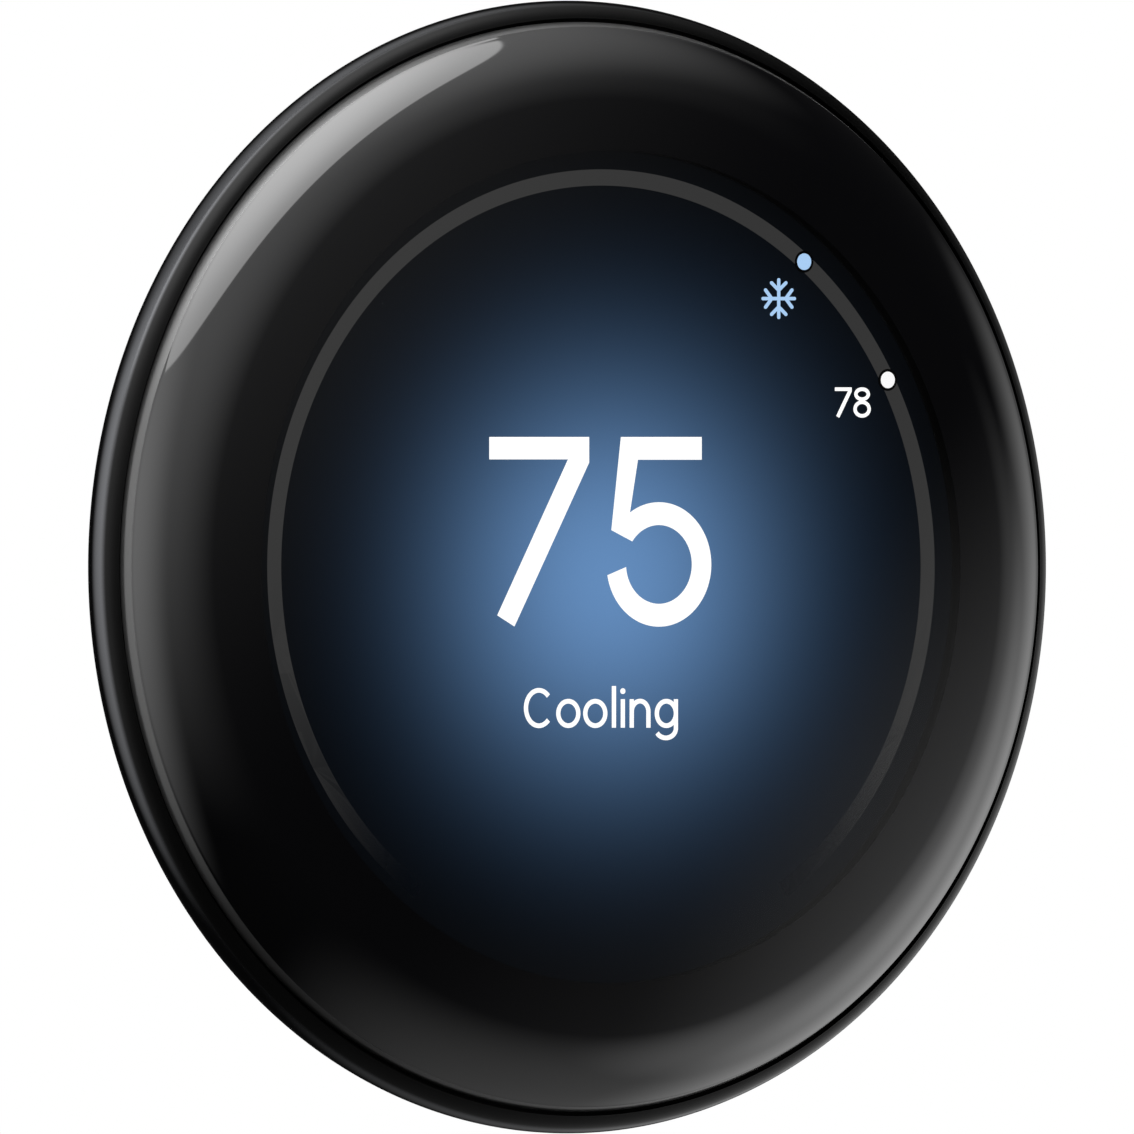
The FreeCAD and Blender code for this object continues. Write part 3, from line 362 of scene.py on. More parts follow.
def circuit_board(name):
    """Solder mask over copper: thin lighter traces on a square pitch, broken up by noise."""
    shader = Shader(name)
    x, _, z = shader.axes()
    across = shader.math("ABSOLUTE", shader.math("FRACT", x * 0.9 + 0.5) - 0.5)
    up = shader.math("ABSOLUTE", shader.math("FRACT", z * 0.9 + 0.5) - 0.5)
    patch = shader.step(shader.noise(180.0, 1.0), 0.46, 0.52)
    lines = shader.math("MAXIMUM", shader.step(across, 0.34, 0.38) * patch,
                        shader.step(up, 0.34, 0.38) * (1.0 - patch))
    base = shader.mix(lines, (0.006, 0.05, 0.028, 1), (0.02, 0.13, 0.065, 1))
    cell = shader.node("ShaderNodeTexVoronoi", inputs={"Vector": shader.place(), "Scale": 420.0})
    pads = 1.0 - shader.step(cell, 0.10, 0.16)
    base = shader.mix(pads, base, (0.55, 0.42, 0.22, 1))
    rough = 0.32 + pads * 0.1
    normal = shader.bump(lines, 0.3, 0.00004)
    return shader.done(shader.surface(Base_Color=base, Roughness=rough, Metallic=pads * 0.8,
                                      Normal=normal))


def pouch_foil(name):
    """Laminated foil: creased silver with soft folds, darker in the low parts of the folds: painted
    shade in the creases.
    """
    shader = Shader(name)
    wrinkle_height_and_shade = shader.noise(160.0, 5.0)
    # silver darker where the folds are low: painted shade in the creases
    base = shader.mix(wrinkle_height_and_shade, (0.42, 0.43, 0.45, 1), (0.72, 0.73, 0.75, 1))
    normal = shader.bump(wrinkle_height_and_shade, 0.5, 0.0002)
    return shader.done(shader.surface(Base_Color=base, Metallic=0.9, Roughness=0.28 + wrinkle_height_and_shade * 0.2,
                                      Normal=normal))


def foam(name):
    shader = Shader(name)
    cells = shader.node("ShaderNodeTexVoronoi", inputs={"Vector": shader.place(), "Scale": 2200.0})
    # darker in the pits of the cells: painted shade in the pores
    base = shader.mix(cells, (0.03, 0.03, 0.032, 1), (0.16, 0.16, 0.165, 1))
    return shader.done(shader.surface(Base_Color=base, Roughness=0.95,
                                      Normal=shader.bump(cells, 0.6, 0.0001)))


def amber_film(name):
    """Thin flexible board: amber film over copper lanes that run down its length."""
    shader = Shader(name)
    x, _, _ = shader.axes()
    lane = shader.math("ABSOLUTE", shader.math("FRACT", x * 1.6) - 0.5)
    copper = shader.step(lane, 0.2, 0.26)
    base = shader.mix(copper, (0.22, 0.09, 0.02, 1), (0.62, 0.33, 0.09, 1))
    return shader.done(shader.surface(Base_Color=base, Roughness=0.35, Metallic=copper * 0.5,
                                      Normal=shader.bump(copper, 0.3, 0.00003)))


def level_tube(name):
    """Green spirit tube with two dark rings and a pale bubble between them."""
    shader = Shader(name)
    x, _, z = shader.axes()
    middle = (VIAL_LOW.z + VIAL_HIGH.z) / 2 / MM
    distance = shader.math("ABSOLUTE", x)
    lines = shader.step(distance, 2.1, 2.2) * (1.0 - shader.step(distance, 2.5, 2.6))
    oval = shader.math("SQRT", (x / 1.9) ** 2.0 + ((z - middle) / 0.9) ** 2.0)
    bubble = 1.0 - shader.step(oval, 0.8, 1.0)
    base = shader.mix(bubble, (0.28, 0.62, 0.04, 1), (0.8, 0.95, 0.5, 1))
    base = shader.mix(lines, base, (0.01, 0.02, 0.01, 1))
    return shader.done(shader.surface(Base_Color=base, Roughness=0.08 + lines * 0.3,
                                      Coat_Weight=0.6, IOR=1.47))


def display_glow(name, colour):
    """Dark display cell with a blue glow in its middle.

    The glow falls off as a bell curve, e to the power of minus the square of the distance over
    15 mm, measured from a point 1 mm to the right of the axis and 1 mm below it."""
    shader = Shader(name)
    x, _, z = shader.axes()
    reach, shift = 15.0, 1.0
    away = ((x - shift) * (x - shift) + (z + shift) * (z + shift)) / (reach * reach)
    glow = shader.mix(shader.math("EXPONENT", -away), grey(0.0012), colour)
    grain = shader.noise(3000.0, 1.0)
    return shader.done(shader.surface(Base_Color=grey(0.001), Roughness=0.4 + grain * 0.05,
                                      Specular_IOR_Level=0.02, Emission_Color=glow,
                                      Emission_Strength=1.0))


def lit_mark(name, colour, strength=1.0):
    """Lit part of the display: an even colour with the faint grid of its dots."""
    shader = Shader(name)
    x, _, z = shader.axes()
    cell = shader.math("SINE", x * 60.0) * shader.math("SINE", z * 60.0)
    dim = tuple(level * 0.985 for level in colour[:3]) + (1.0,)
    glow = shader.mix(cell * 0.5 + 0.5, dim, colour)
    return shader.done(shader.surface(Base_Color=(0.0, 0.0, 0.0, 1), Roughness=0.6,
                                      Specular_IOR_Level=0.0, Emission_Color=glow,
                                      Emission_Strength=strength))


def arc_mark(name):
    """Grey arc of the dial: even over its top, fading into the display at both lower ends."""
    shader = Shader(name)
    x, _, z = shader.axes()
    angle = shader.math("ARCTAN2", x, z) * (180.0 / math.pi)
    fade = 1.0 - shader.step(shader.math("ABSOLUTE", angle), 85.0, 145.0)
    cell = shader.math("SINE", x * 60.0) * shader.math("SINE", z * 60.0)
    glow = shader.mix(cell * 0.5 + 0.5, grey(0.036), grey(0.039))
    lit = shader.surface(Base_Color=(0.0, 0.0, 0.0, 1), Roughness=0.6, Specular_IOR_Level=0.0,
                         Emission_Color=glow, Emission_Strength=1.0)
    return shader.done(shader.blend(fade, shader.node("ShaderNodeBsdfTransparent"), lit))


def unlit_gap(name):
    """Unlit cells round a dot."""
    shader = Shader(name)
    grain = shader.noise(3000.0, 1.0)
    colour = shader.mix(grain, grey(0.001), grey(0.003))
    return shader.done(shader.surface(Base_Color=colour, Roughness=0.5 + grain * 0.1,
                                      Specular_IOR_Level=0.05))


def cover_glass_finish(name, window, edge):
    """Polished front of the glass: clear over the window, black outside it, ground at the bevel."""
    shader = Shader(name)
    away = shader.radius()
    backed = shader.step(away, window, window + 0.25)
    ground = shader.step(away, edge + 0.02, edge + 0.08)
    smear = shader.noise(35.0, 4.0)
    colour = shader.mix(ground, (0.002, 0.002, 0.0025, 1), grey(0.055))
    rough = 0.03 + smear * 0.03 + ground * 0.25
    black = shader.surface(Base_Color=colour, Roughness=rough, IOR=GLASS_INDEX)
    clear = shader.node("ShaderNodeBsdfTransparent")
    shine = shader.node("ShaderNodeBsdfGlossy", inputs={"Roughness": 0.05})
    share = shader.node("ShaderNodeFresnel", inputs={"IOR": GLASS_INDEX})
    lens = shader.blend(share, clear, shine)
    return shader.done(shader.blend(backed, lens, black))


def glass_back_print(name, window):
    """Back of the glass: black ceramic print with a soft speckle, open over the window."""
    shader = Shader(name)
    printed = shader.step(shader.radius(), window, window + 0.25)
    speckle = shader.noise(2500.0, 2.0)
    ink = shader.surface(Base_Color=shader.mix(speckle, grey(0.004), grey(0.012)),
                         Roughness=0.55 + speckle * 0.1, Normal=shader.bump(speckle, 0.2, 0.00003))
    clear = shader.node("ShaderNodeBsdfTransparent")
    return shader.done(shader.blend(printed, clear, ink))


def polished_rim(name, colour, bead):
    """Dark polished metal outside, turning near-black along the inner side of the bead: painted
    shade in place of the dark reflection band there.

    bead is the radius and distance from the wall of the bead's centre; the change happens
    at one angle about it."""
    shader = Shader(name)
    _, y, _ = shader.axes()
    around_bead = shader.math("ARCTAN2", 0.0 - y - bead[1], shader.radius() - bead[0])
    # near-black, rougher band on the inner side of the bead: painted shade standing in for the dark
    # reflection there
    painted_dark_band = shader.step(around_bead, 0.45, 0.72)
    lines = shader.node("ShaderNodeTexNoise", {"noise_dimensions": "1D"},
                        {"W": shader.radius() * 18.0 + y * 18.0, "Scale": 1.0, "Detail": 2.0})
    cloud = shader.noise(30.0)
    dark = tuple(level * 0.93 for level in colour[:3]) + (1.0,)
    base = shader.mix(painted_dark_band, shader.mix(cloud, dark, colour), grey(0.008))
    rough = 0.16 + (lines - 0.5) * 0.04 + painted_dark_band * 0.2
    return shader.done(shader.surface(Base_Color=base, Metallic=1.0, Roughness=rough,
                                      Normal=shader.bump(lines, 0.02, 0.00002)))


def slot_finishes(look):
    """Every material slot of the record with its finish."""
    return {
        "adhesive": moulded_plastic("sealing adhesive", grey(0.01), 0.6, 700.0),
        "encoder_plastic": moulded_plastic("encoder strip plastic", grey(0.02), 0.5, 1500.0),
        "carrier_plastic": moulded_plastic("carrier plastic", grey(0.012), 0.55, 1400.0),
        "bearing_plastic": moulded_plastic("bearing acetal", (0.78, 0.78, 0.74, 1), 0.3, 900.0),
        "steel_sheet": brushed_metal("stamped steel sheet", (0.58, 0.58, 0.57, 1), 0.34),
        "screw_steel": brushed_metal("zinc plated screws", (0.6, 0.6, 0.62, 1), 0.26),
        "backlight_film": moulded_plastic("light guide", (0.82, 0.85, 0.9, 1), 0.35, 600.0),
        "display_glass": display_glow("display cell", tuple(look.glow_colour) + (1,)),
        "sensor_black": moulded_plastic("epoxy package", grey(0.015), 0.42, 2200.0),
        "housing_plastic": moulded_plastic("rear housing plastic",
                                           tuple(look.housing_colour) + (1,), 0.48, 1600.0),
        "spring_steel": brushed_metal("spring steel", (0.62, 0.62, 0.6, 1), 0.22),
        "board_green": circuit_board("circuit board"),
        "foam_pad": foam("foam pad"),
        "battery_foil": pouch_foil("battery pouch"),
        "tinned_steel": brushed_metal("tinned shield", (0.7, 0.7, 0.68, 1), 0.3),
        "connector_plastic": moulded_plastic("connector plastic", grey(0.02), 0.45, 1200.0),
        "flex_film": amber_film("flexible board film"),
        "base_plastic": moulded_plastic("base plastic", tuple(look.base_colour) + (1,),
                                        0.5, 1500.0),
        "terminal_plastic": moulded_plastic("terminal body plastic", (0.42, 0.42, 0.41, 1),
                                            0.5, 1500.0),
        "lever_plastic": moulded_plastic("lever plastic", (0.85, 0.85, 0.84, 1), 0.32, 1000.0),
        "vial_glass": level_tube("level vial"),
    }


# ---------------------------------------------------------------- settings

class ThermostatLook(bpy.types.PropertyGroup):
    """Sizes and colours of the visible pieces."""

    rim_colour: FloatVectorProperty(
        name="Rim colour", description="Colour of the polished rim ring",
        subtype="COLOR", size=3, default=(0.055, 0.056, 0.059))
    housing_colour: FloatVectorProperty(
        name="Housing colour", description="Colour of the rear housing",
        subtype="COLOR", size=3, default=(0.02, 0.02, 0.021))
    base_colour: FloatVectorProperty(
        name="Base colour", description="Colour of the wall base",
        subtype="COLOR", size=3, default=(0.72, 0.72, 0.7))
    cool_colour: FloatVectorProperty(
        name="Cooling colour", description="Colour of the cooling marks",
        subtype="COLOR", size=3, default=(0.42, 0.65, 0.96))
    glow_colour: FloatVectorProperty(
        name="Glow colour", description="Colour in the middle of the display",
        subtype="COLOR", size=3, default=(0.13, 0.27, 0.52))
    window_radius: FloatProperty(
        name="Window radius", description="Radius of the clear part of the glass",
        default=0.0359, min=0.02, max=0.045, subtype="DISTANCE", unit="LENGTH")
    arc_radius: FloatProperty(
        name="Arc radius", description="Radius of the middle of the dial arc",
        default=0.0337, min=0.02, max=0.035, subtype="DISTANCE", unit="LENGTH")
    arc_width: FloatProperty(
        name="Arc width", description="Width of the dial arc",
        default=0.0014, min=0.0005, max=0.003, subtype="DISTANCE", unit="LENGTH")


def look_of(context):
    return context.scene.thermostat_look


class MakerOperator:
    """Shared parts of the operators."""

    bl_options = {"REGISTER", "UNDO"}

    def execute(self, context):
        self.make(context, look_of(context))
        return {"FINISHED"}


# ---------------------------------------------------------------- outer pieces

class THERMOSTAT_OT_finishes(MakerOperator, bpy.types.Operator):
    """Give every inner and rear piece the finish of its material slot"""

    bl_idname = "thermostat.finishes"
    bl_label = "Finish the inner and rear pieces"

    def make(self, context, look):
        finishes = slot_finishes(look)
        for name, piece in frame["nodes"].items():
            if SLOTS[name] in finishes:
                piece.data.materials.clear()
                piece.data.materials.append(finishes[SLOTS[name]])


class THERMOSTAT_OT_cover_glass(MakerOperator, bpy.types.Operator):
    """Domed cover glass of even thickness with a rolled edge and a bevelled foot"""

    bl_idname = "thermostat.cover_glass"
    bl_label = "Cover glass"

    def make(self, context, look):
        """Outer profile: crown arc about a point far behind on the axis, then a tangent edge arc,
        then the bevel and foot; the inner profile has the same centres and smaller radii."""
        apex, foot = -GLASS_LOW.y / MM, -GLASS_HIGH.y / MM
        outer, window = GLASS_HIGH.x / MM, look.window_radius / MM
        crown, roll, thick = 272.0, 10.0, 1.3
        knee, edge, land = outer - 6.65, outer - 0.45, outer - 2.55
        lean = math.asin(knee / crown)
        middle = ((crown - roll) * math.sin(lean), apex - crown + (crown - roll) * math.cos(lean))
        behind = (0.0, apex - crown)
        knee_angle = 90.0 - math.degrees(lean)
        edge_angle = math.degrees(math.acos((edge - middle[0]) / roll))
        land_angle = math.degrees(math.acos((land - middle[0]) / (roll - thick)))
        edge_w = middle[1] + roll * math.sin(math.radians(edge_angle))
        bevel = np.array([[edge + 0.04, edge_w - 0.03], [outer - 0.03, edge_w - 0.90],
                          [outer, edge_w - 0.99], [outer, foot + 0.06], [outer - 0.06, foot],
                          [land, foot]])
        profile = np.vstack([
            arc(behind, crown, 90.0, knee_angle, 40)[:-1],
            arc(middle, roll, knee_angle, edge_angle, 36),
            bevel,
            arc(middle, roll - thick, land_angle, knee_angle, 24)[:-1],
            arc(behind, crown - thick, knee_angle, 90.0, 30),
        ])
        points, faces = dome(profile, 384)
        finish = cover_glass_finish("cover glass", window, edge)
        piece = mesh_piece("cover_glass_shell", points, [tuple(face)[::-1] for face in faces],
                           "front", finish, 40.0)
        piece.data.materials.append(glass_back_print("glass back print", window))
        normals = np.empty(len(piece.data.polygons) * 3)
        piece.data.polygons.foreach_get("normal", normals)
        back = (normals.reshape(-1, 3)[:, 1] > 0.02).astype(np.int32)
        piece.data.polygons.foreach_set("material_index", back)
        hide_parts("cover_glass")


class THERMOSTAT_OT_rim_ring(MakerOperator, bpy.types.Operator):
    """Turning rim ring: round bead outside, lip round the glass foot, shoulder inside"""

    bl_idname = "thermostat.rim_ring"
    bl_label = "Rim ring"

    def make(self, context, look):
        """Profile: the bead is an arc about its centre, joined to the tail by a straight back."""
        rim, low, lip_top = RING_HIGH.x / MM, -RING_HIGH.y / MM, -RING_LOW.y / MM
        bead = 2.12
        centre = (rim - bead, low + 3.64)
        lip_r, step_r, bore_r = rim - 1.55, rim - 2.7, rim - 4.6
        lip_angle = math.degrees(math.asin((lip_top - centre[1]) / bead))
        back = arc(centre, bead, -60.0, lip_angle - 2.0, 48)
        profile = np.vstack([
            [[bore_r + 0.08, low], [bore_r + 1.72, low], [bore_r + 1.82, low + 0.06]],
            back,
            [[lip_r + 0.05, lip_top - 0.01], [lip_r, lip_top - 0.07], [lip_r, lip_top - 0.782],
             [step_r, lip_top - 0.782], [step_r, low + 3.1], [bore_r + 0.08, low + 3.1],
             [bore_r, low + 3.02], [bore_r, low + 0.08]],
        ])
        points, faces = lathe(profile, 512)
        finish = polished_rim("polished rim", tuple(look.rim_colour) + (1,), centre)
        piece = mesh_piece("rim_ring", points, faces[:, ::-1], "ring", finish, 35.0)
        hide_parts("outer_ring")


# ---------------------------------------------------------------- display

DISPLAY_LOW = -LCD_LOW.y / MM
DISPLAY_HIGH = DISPLAY_LOW + 0.06


def seven(left, base, height, width, thick):
    """Figure seven in one outline: a bar on top and a straight leg down to the left."""
    top, right = base + height, left + width
    return [plate([(left, top), (left, top - thick), (right - 1.11 * thick, top - thick),
                   (left + 0.08 * width, base + 0.49 * thick), (left + 0.25 * width, base),
                   (right, top - 1.14 * thick), (right, top)], DISPLAY_LOW, DISPLAY_HIGH)]


def five(left, base, height, thick):
    """Figure five in one outline: a bar, a leaning stem and an open round bowl."""
    top, outer = base + height, 0.328 * height
    centre = np.array([left + outer, base + outer])
    shoulder = [(centre[0] - 0.238 * height, top),
                (centre[0] - 0.298 * height, centre[1] + 0.181 * height)]
    bar = [(centre[0] - 0.133 * height, top - thick), (centre[0] + 0.268 * height, top - thick),
           (centre[0] + 0.268 * height, top)]
    outline = np.vstack([shoulder, arc(centre, outer - thick, 144.0, -176.0, 60),
                         arc(centre, outer, -170.0, 124.0, 72), bar])
    return [plate(outline, DISPLAY_LOW, DISPLAY_HIGH)]


def eight(left, base, height, width, thick):
    """Figure eight: a smaller oval on a larger one."""
    parts = []
    for centre, across, up in ((base + height * 0.775, width * 0.45, height * 0.225),
                               (base + height * 0.285, width * 0.5, height * 0.285)):
        angles = np.linspace(0, 2 * np.pi, 48, endpoint=False)
        path = np.stack([left + width / 2 + (across - thick / 2) * np.cos(angles),
                         centre + (up - thick / 2) * np.sin(angles)], axis=1)
        parts.append(stroke(path, thick, DISPLAY_LOW, DISPLAY_HIGH, closed=True))
    return parts


def letter_word(left, base, size, thick):
    """The mode word in round letters: capital height is size, small letters are 0.725 of it."""
    small = size * 0.725
    low, high = DISPLAY_LOW, DISPLAY_HIGH
    half = thick / 2
    parts, x = [], left

    def oval(centre, across, up, start, end, count=40):
        angles = np.radians(np.linspace(start, end, count))
        return np.stack([centre[0] + across * np.cos(angles),
                         centre[1] + up * np.sin(angles)], axis=1)

    big = (x + size * 0.45, base + size / 2)
    path = oval(big, size * 0.45 - half, size * 0.51 - half, 43, 317)
    parts.append(stroke(path, thick, low, high))
    x += size * 0.98
    for _ in range(2):
        path = oval((x + small * 0.5, base + small / 2), small * 0.5 - half,
                    small * 0.51 - half, 0, 352.5, 48)
        parts.append(stroke(path, thick, low, high, closed=True))
        x += small * 1.13
    x += size * 0.05
    parts.append(stroke([(x + half, base), (x + half, base + size * 1.06)], thick, low, high))
    x += size * 0.27
    parts.append(stroke([(x + half, base), (x + half, base + small)], thick, low, high))
    parts.append(plate(arc((x + half, base + size * 0.93), thick * 0.62, 0, 345, 24), low, high))
    x += size * 0.27
    arch = np.vstack([[[x + half, base + small * 0.3]],
                      oval((x + small * 0.43, base + small * 0.56), small * 0.43 - half,
                           small * 0.455 - half, 172, 0, 24),
                      [[x + small * 0.86 - half, base]]])
    parts.append(stroke([(x + half, base), (x + half, base + small)], thick, low, high))
    parts.append(stroke(arch, thick, low, high))
    x += small * 1.05
    path = oval((x + small * 0.48, base + small / 2), small * 0.48 - half,
                small * 0.51 - half, 0, 352.5, 48)
    parts.append(stroke(path, thick, low, high, closed=True))
    tail = np.vstack([[[x + small * 0.96 - half, base + small]],
                      oval((x + small * 0.46, base - small * 0.02), small * 0.50 - half,
                           small * 0.42 - half, 0, -150, 28)])
    parts.append(stroke(tail, thick, low, high))
    return parts, x + small * 0.96


class THERMOSTAT_OT_digits(MakerOperator, bpy.types.Operator):
    """White figures and mode word of the display"""

    bl_idname = "thermostat.digits"
    bl_label = "Figures and word"

    def make(self, context, look):
        white = lit_mark("lit figures", (1.0, 1.0, 1.0, 1), 1.15)
        parts = seven(-11.5, -5.13, 16.38, 10.27, 1.94) + five(0.6, -5.16, 16.41, 1.97)
        points, faces = joined(parts)
        mesh_piece("temperature_figures", points, faces, "front", white)
        parts = seven(24.15, 12.92, 2.62, 1.7, 0.31) + eight(26.06, 12.92, 2.62, 1.76, 0.31)
        points, faces = joined(parts)
        mesh_piece("set_point_figures", points, faces, "front", white)
        parts, right = letter_word(0.0, 0.0, 3.4, 0.4)
        shift = np.array([-right / 2 * MM, 0, -13.9 * MM])
        points, faces = joined(parts)
        mesh_piece("mode_word", points + shift, faces, "front", white)


# the dial arc and its dots: angles in degrees from the right, sizes in millimetres
ARC_START, ARC_END = -56, 236
CURRENT_ANGLE, SET_POINT_ANGLE = 51.6, 28.7
DOT_RADIUS, GAP_RADIUS = 0.72, 0.95
FLAKE_CENTRE, FLAKE_ARM, FLAKE_LINE = (18.34, 23.22), 1.62, 0.3


class THERMOSTAT_OT_dial_marks(MakerOperator, bpy.types.Operator):
    """Grey dial arc, its two dots and the snowflake"""

    bl_idname = "thermostat.dial_marks"
    bl_label = "Dial arc and marks"

    def make(self, context, look):
        low, high = DISPLAY_LOW, DISPLAY_HIGH
        radius, width = look.arc_radius / MM, look.arc_width / MM
        points, faces = stroke(arc((0, 0), radius, ARC_START, ARC_END, 240), width, low, high)
        mesh_piece("dial_arc", points, faces, "front", arc_mark("dial arc light"))
        cool = lit_mark("cooling marks", tuple(look.cool_colour) + (1,))
        white = lit_mark("set point mark", (1.0, 1.0, 1.0, 1))
        unlit = unlit_gap("unlit cells")
        for name, angle, material in (("current_dot", CURRENT_ANGLE, cool),
                                      ("set_point_dot", SET_POINT_ANGLE, white)):
            centre = arc((0, 0), radius, angle, angle, 1)[0]
            points, faces = plate(arc(centre, GAP_RADIUS, 0, 350, 36), low, high + 0.015)
            mesh_piece(name + "_gap", points, faces, "front", unlit)
            points, faces = plate(arc(centre, DOT_RADIUS, 0, 350, 36), low, high + 0.03)
            mesh_piece(name, points, faces, "front", material)
        centre = np.array(FLAKE_CENTRE)
        parts = []
        for turn in range(4):
            along = arc((0, 0), 1.0, 90 * turn, 90 * turn, 1)[0]
            side = np.array([-along[1], along[0]])
            arm = [centre, centre + along * FLAKE_ARM]
            parts.append(stroke(arm, FLAKE_LINE, low, high, caps=10))
            for way in (-1, 1):
                root, tip = centre + along * 0.72, centre + along * 1.36 + side * way * 0.74
                parts.append(stroke([root, tip], FLAKE_LINE, low, high, caps=10))
        points, faces = joined(parts)
        mesh_piece("snowflake", points, faces, "front", cool)


# ---------------------------------------------------------------- stage

# soft lamps of the light tent: azimuth, elevation and spread in degrees, strength
SOFT_LAMPS = (
    (60, 50, 90, 1.5),      # very large softbox, high on the left
    (90, 0, 60, 2.0),       # strip beside the rim on the left
    (-65, -20, 30, 1.0),    # low lamp on the right
    (-100, -20, 40, 1.0),   # its neighbour, further round
    (-80, -50, 60, 0.7),    # bounce from below
    (-60, 80, 50, 0.8),     # panel overhead
)
# azimuth, elevation and half angle in degrees, strength
ROUND_LAMP = (75, 70, 40, 4.5)
TENT_DARK = 0.02


CAMERA_TURN, CAMERA_WIDTH, CAMERA_FAR = -33.0, 0.0981, 0.5
BACKDROP_RADIUS, TENT_RADIUS, FLOOR_RADIUS, FLOOR_HEIGHT = 4.0, 3.0, 1.2, -0.22
LAMP_EDGE = 0.004


def direction(azimuth, elevation):
    """Unit vector; azimuth turns from straight ahead of the face towards its left side."""
    turn, rise = math.radians(azimuth), math.radians(elevation)
    return (-math.sin(turn) * math.cos(rise), -math.cos(turn) * math.cos(rise), math.sin(rise))


def sphere(polar, columns, radius):
    """Sphere without its tips: at polar angle p and turn a, a point is the radius times
    (sin p cos a, sin p sin a, cos p)."""
    polar = polar[:, None]
    around = np.linspace(0, 2 * np.pi, columns, endpoint=False)
    up = np.broadcast_to(np.cos(polar), (len(polar), columns))
    points = np.stack([np.sin(polar) * np.cos(around), np.sin(polar) * np.sin(around), up],
                      axis=2).reshape(-1, 3) * radius
    return points, grid_faces(len(polar), columns, False, True)


def area_light(name, place, target, across, power):
    """Square light at a place in metres, facing a target."""
    data = bpy.data.lights.new(name, "AREA")
    data.shape = "SQUARE"
    data.size = across
    data.energy = power
    light = bpy.data.objects.new(name, data)
    light.location = place
    aim = Vector(target) - Vector(place)
    light.rotation_euler = aim.to_track_quat("-Z", "Y").to_euler()
    bpy.context.scene.collection.objects.link(light)
    return light


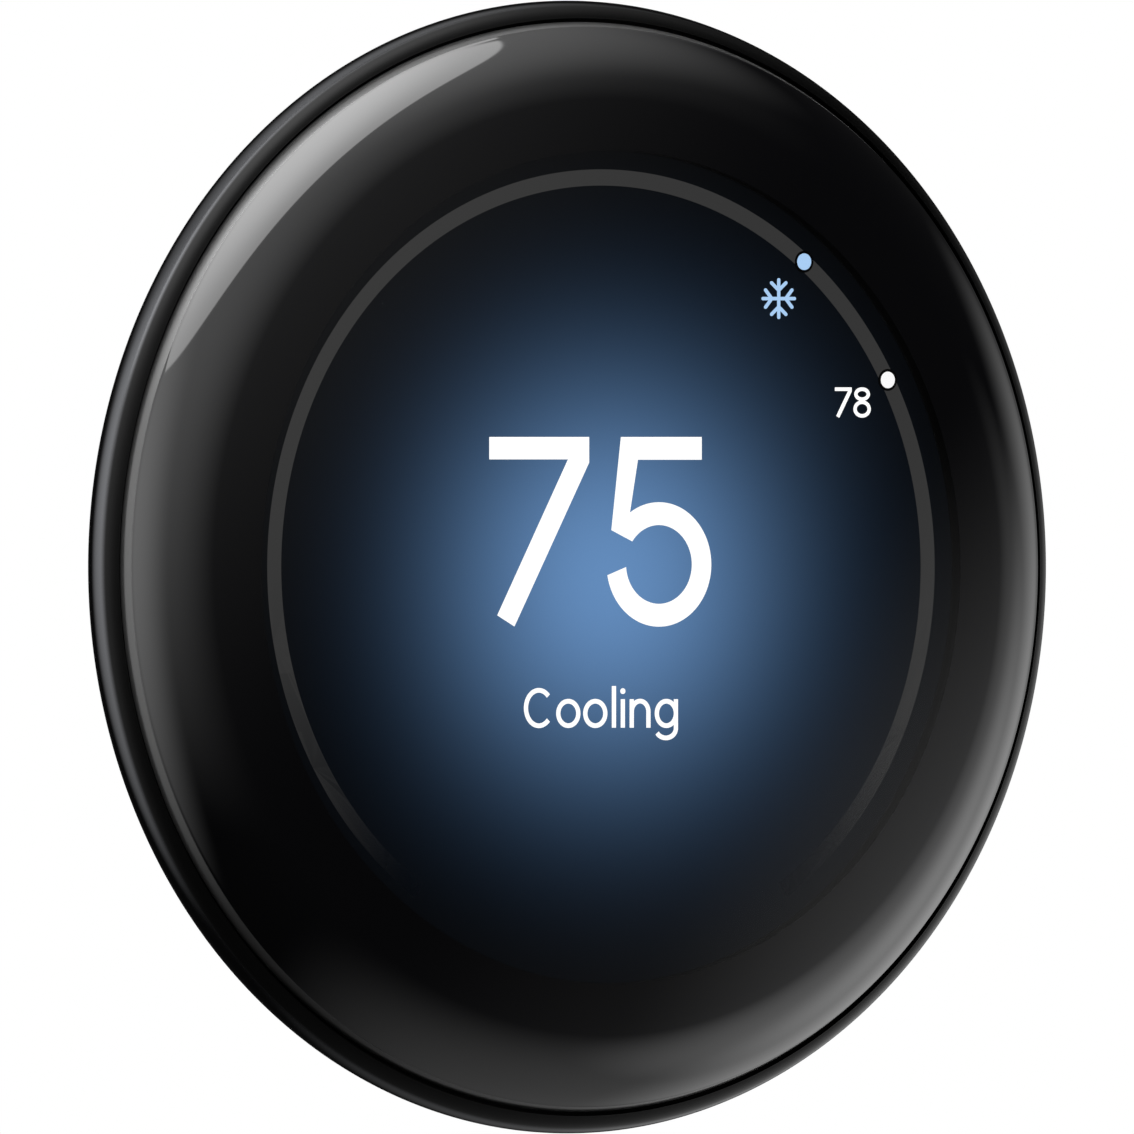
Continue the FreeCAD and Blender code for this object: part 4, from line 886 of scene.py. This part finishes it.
class THERMOSTAT_OT_stage(MakerOperator, bpy.types.Operator):
    """Camera, pale backdrop, floor and soft studio lights"""

    bl_idname = "thermostat.stage"
    bl_label = "Stage, camera and lights"

    def make(self, context, look):
        scene = context.scene
        scene.view_settings.view_transform = "Standard"
        self.camera(scene)
        self.backdrop(scene)
        self.tent(scene)
        self.lights()

    def camera(self, scene):
        """Parallel camera level with the middle of the face, 33 degrees to its left."""
        data = bpy.data.cameras.new("front camera")
        data.type = "ORTHO"
        data.ortho_scale = CAMERA_WIDTH
        camera = bpy.data.objects.new("front camera", data)
        turn = math.radians(CAMERA_TURN)
        target = Vector((0.0, -0.01784, 0.0))
        away = Vector((math.sin(turn), -math.cos(turn), 0.0))
        camera.location = target + away * CAMERA_FAR
        camera.rotation_euler = (target - camera.location).to_track_quat("-Z", "Y").to_euler()
        scene.collection.objects.link(camera)
        scene.camera = camera

    def backdrop(self, scene):
        """A pale dome all round and a pale floor, left out of reflections."""
        shader = Shader("pale backdrop")
        glow = shader.node("ShaderNodeEmission", inputs={"Color": (1, 1, 1, 1), "Strength": 1.0})
        pale = shader.done(glow)
        points, faces = sphere(np.linspace(0.02, np.pi - 0.02, 24), 48, BACKDROP_RADIUS)
        self.stage_mesh(scene, "backdrop", points, faces, pale)
        turn = np.linspace(0, 2 * np.pi, 96, endpoint=False)
        shader = Shader("pale floor")
        cloud = shader.noise(2.0)
        base = shader.mix(cloud, (0.9, 0.9, 0.9, 1), (0.94, 0.94, 0.94, 1))
        surface = shader.surface(Base_Color=base, Roughness=0.9, Emission_Color=(1, 1, 1, 1),
                                 Emission_Strength=0.25)
        floor = np.stack([FLOOR_RADIUS * np.cos(turn), FLOOR_RADIUS * np.sin(turn),
                          np.full(96, FLOOR_HEIGHT)], axis=1)
        self.stage_mesh(scene, "floor", floor, [tuple(range(96))], shader.done(surface))
        world = bpy.data.worlds.new("studio dark")
        world.use_nodes = True
        world.node_tree.nodes["Background"].inputs[0].default_value = (1, 1, 1, 1)
        world.node_tree.nodes["Background"].inputs[1].default_value = 0.02
        scene.world = world

    def stage_mesh(self, scene, name, points, faces, material):
        mesh = bpy.data.meshes.new(name)
        mesh.from_pydata(points.tolist(), [], [tuple(face) for face in faces])
        mesh.materials.append(material)
        item = bpy.data.objects.new(name, mesh)
        scene.collection.objects.link(item)
        item.visible_glossy = False
        item.visible_diffuse = False
        item.visible_shadow = False
        return item

    def tent(self, scene):
        """Dark sphere that only reflections see, lit by soft lamps and one round lamp.

        A soft lamp fades smoothly from its middle to nothing at its spread; the round lamp has a
        crisp edge, is twice as bright in its middle, and hangs in front of the wall only."""
        shader = Shader("light tent")
        way = shader.node("ShaderNodeVectorMath", {"operation": "NORMALIZE"}, {0: shader.place()})
        total = TENT_DARK
        for azimuth, elevation, spread, strength in SOFT_LAMPS:
            near = shader.dot(way, direction(azimuth, elevation))
            total = shader.step(near, math.cos(math.radians(spread)), 1.0) * strength + total
        azimuth, elevation, half_angle, strength = ROUND_LAMP
        near = shader.dot(way, direction(azimuth, elevation))
        edge = math.cos(math.radians(half_angle))
        front = shader.dot(way, (0, -1, 0))
        disc = shader.step(near, edge - LAMP_EDGE, edge + LAMP_EDGE)
        lamp = disc * shader.step(front, 0.0, 0.05)
        total = lamp * (shader.step(near, edge, 1.0) + 1.0) * strength + total
        glow = shader.node("ShaderNodeEmission", inputs={"Color": (1, 1, 1, 1), "Strength": total})
        material = shader.done(glow)
        material.cycles.emission_sampling = "NONE"
        points, faces = sphere(np.linspace(0.0, np.pi, 50)[1:-1], 96, TENT_RADIUS)
        item = self.stage_mesh(scene, "light_tent", points, faces, material)
        item.visible_camera = False
        item.visible_glossy = True

    def lights(self):
        """Soft lamps for matt surfaces; the tent gives the polished ones their reflections."""
        middle = (0.0, -0.018, 0.0)
        for name, place, across, power in (("key lamp", (-0.5, -0.6, 0.7), 0.6, 9.0),
                                           ("fill lamp", (0.7, -0.5, 0.1), 0.6, 4.0),
                                           ("rear lamp", (0.3, 0.8, 0.5), 0.8, 9.0),
                                           ("rear fill", (-0.7, 0.6, 0.0), 0.6, 4.0)):
            light = area_light(name, place, middle, across, power)
            light.visible_glossy = False


# ---------------------------------------------------------------- panel and run

STEPS = ("finishes", "cover_glass", "rim_ring", "digits", "dial_marks", "stage")


class THERMOSTAT_PT_panel(bpy.types.Panel):
    """Thermostat pieces, in the order they are made"""

    bl_idname = "THERMOSTAT_PT_panel"
    bl_label = "Wall thermostat"
    bl_space_type = "VIEW_3D"
    bl_region_type = "UI"
    bl_category = "Thermostat"

    def draw(self, context):
        for name in ThermostatLook.__annotations__:
            self.layout.prop(look_of(context), name)
        for step in STEPS:
            self.layout.operator(f"thermostat.{step}")


CLASSES = (ThermostatLook, THERMOSTAT_OT_finishes, THERMOSTAT_OT_cover_glass,
           THERMOSTAT_OT_rim_ring, THERMOSTAT_OT_digits, THERMOSTAT_OT_dial_marks,
           THERMOSTAT_OT_stage, THERMOSTAT_PT_panel)


def register():
    for kind in CLASSES:
        bpy.utils.register_class(kind)
    bpy.types.Scene.thermostat_look = PointerProperty(type=ThermostatLook)


def unregister():
    del bpy.types.Scene.thermostat_look
    for kind in reversed(CLASSES):
        bpy.utils.unregister_class(kind)


def main():
    register()
    for step in STEPS:
        getattr(bpy.ops.thermostat, step)()


if __name__ == "__main__":
    main()
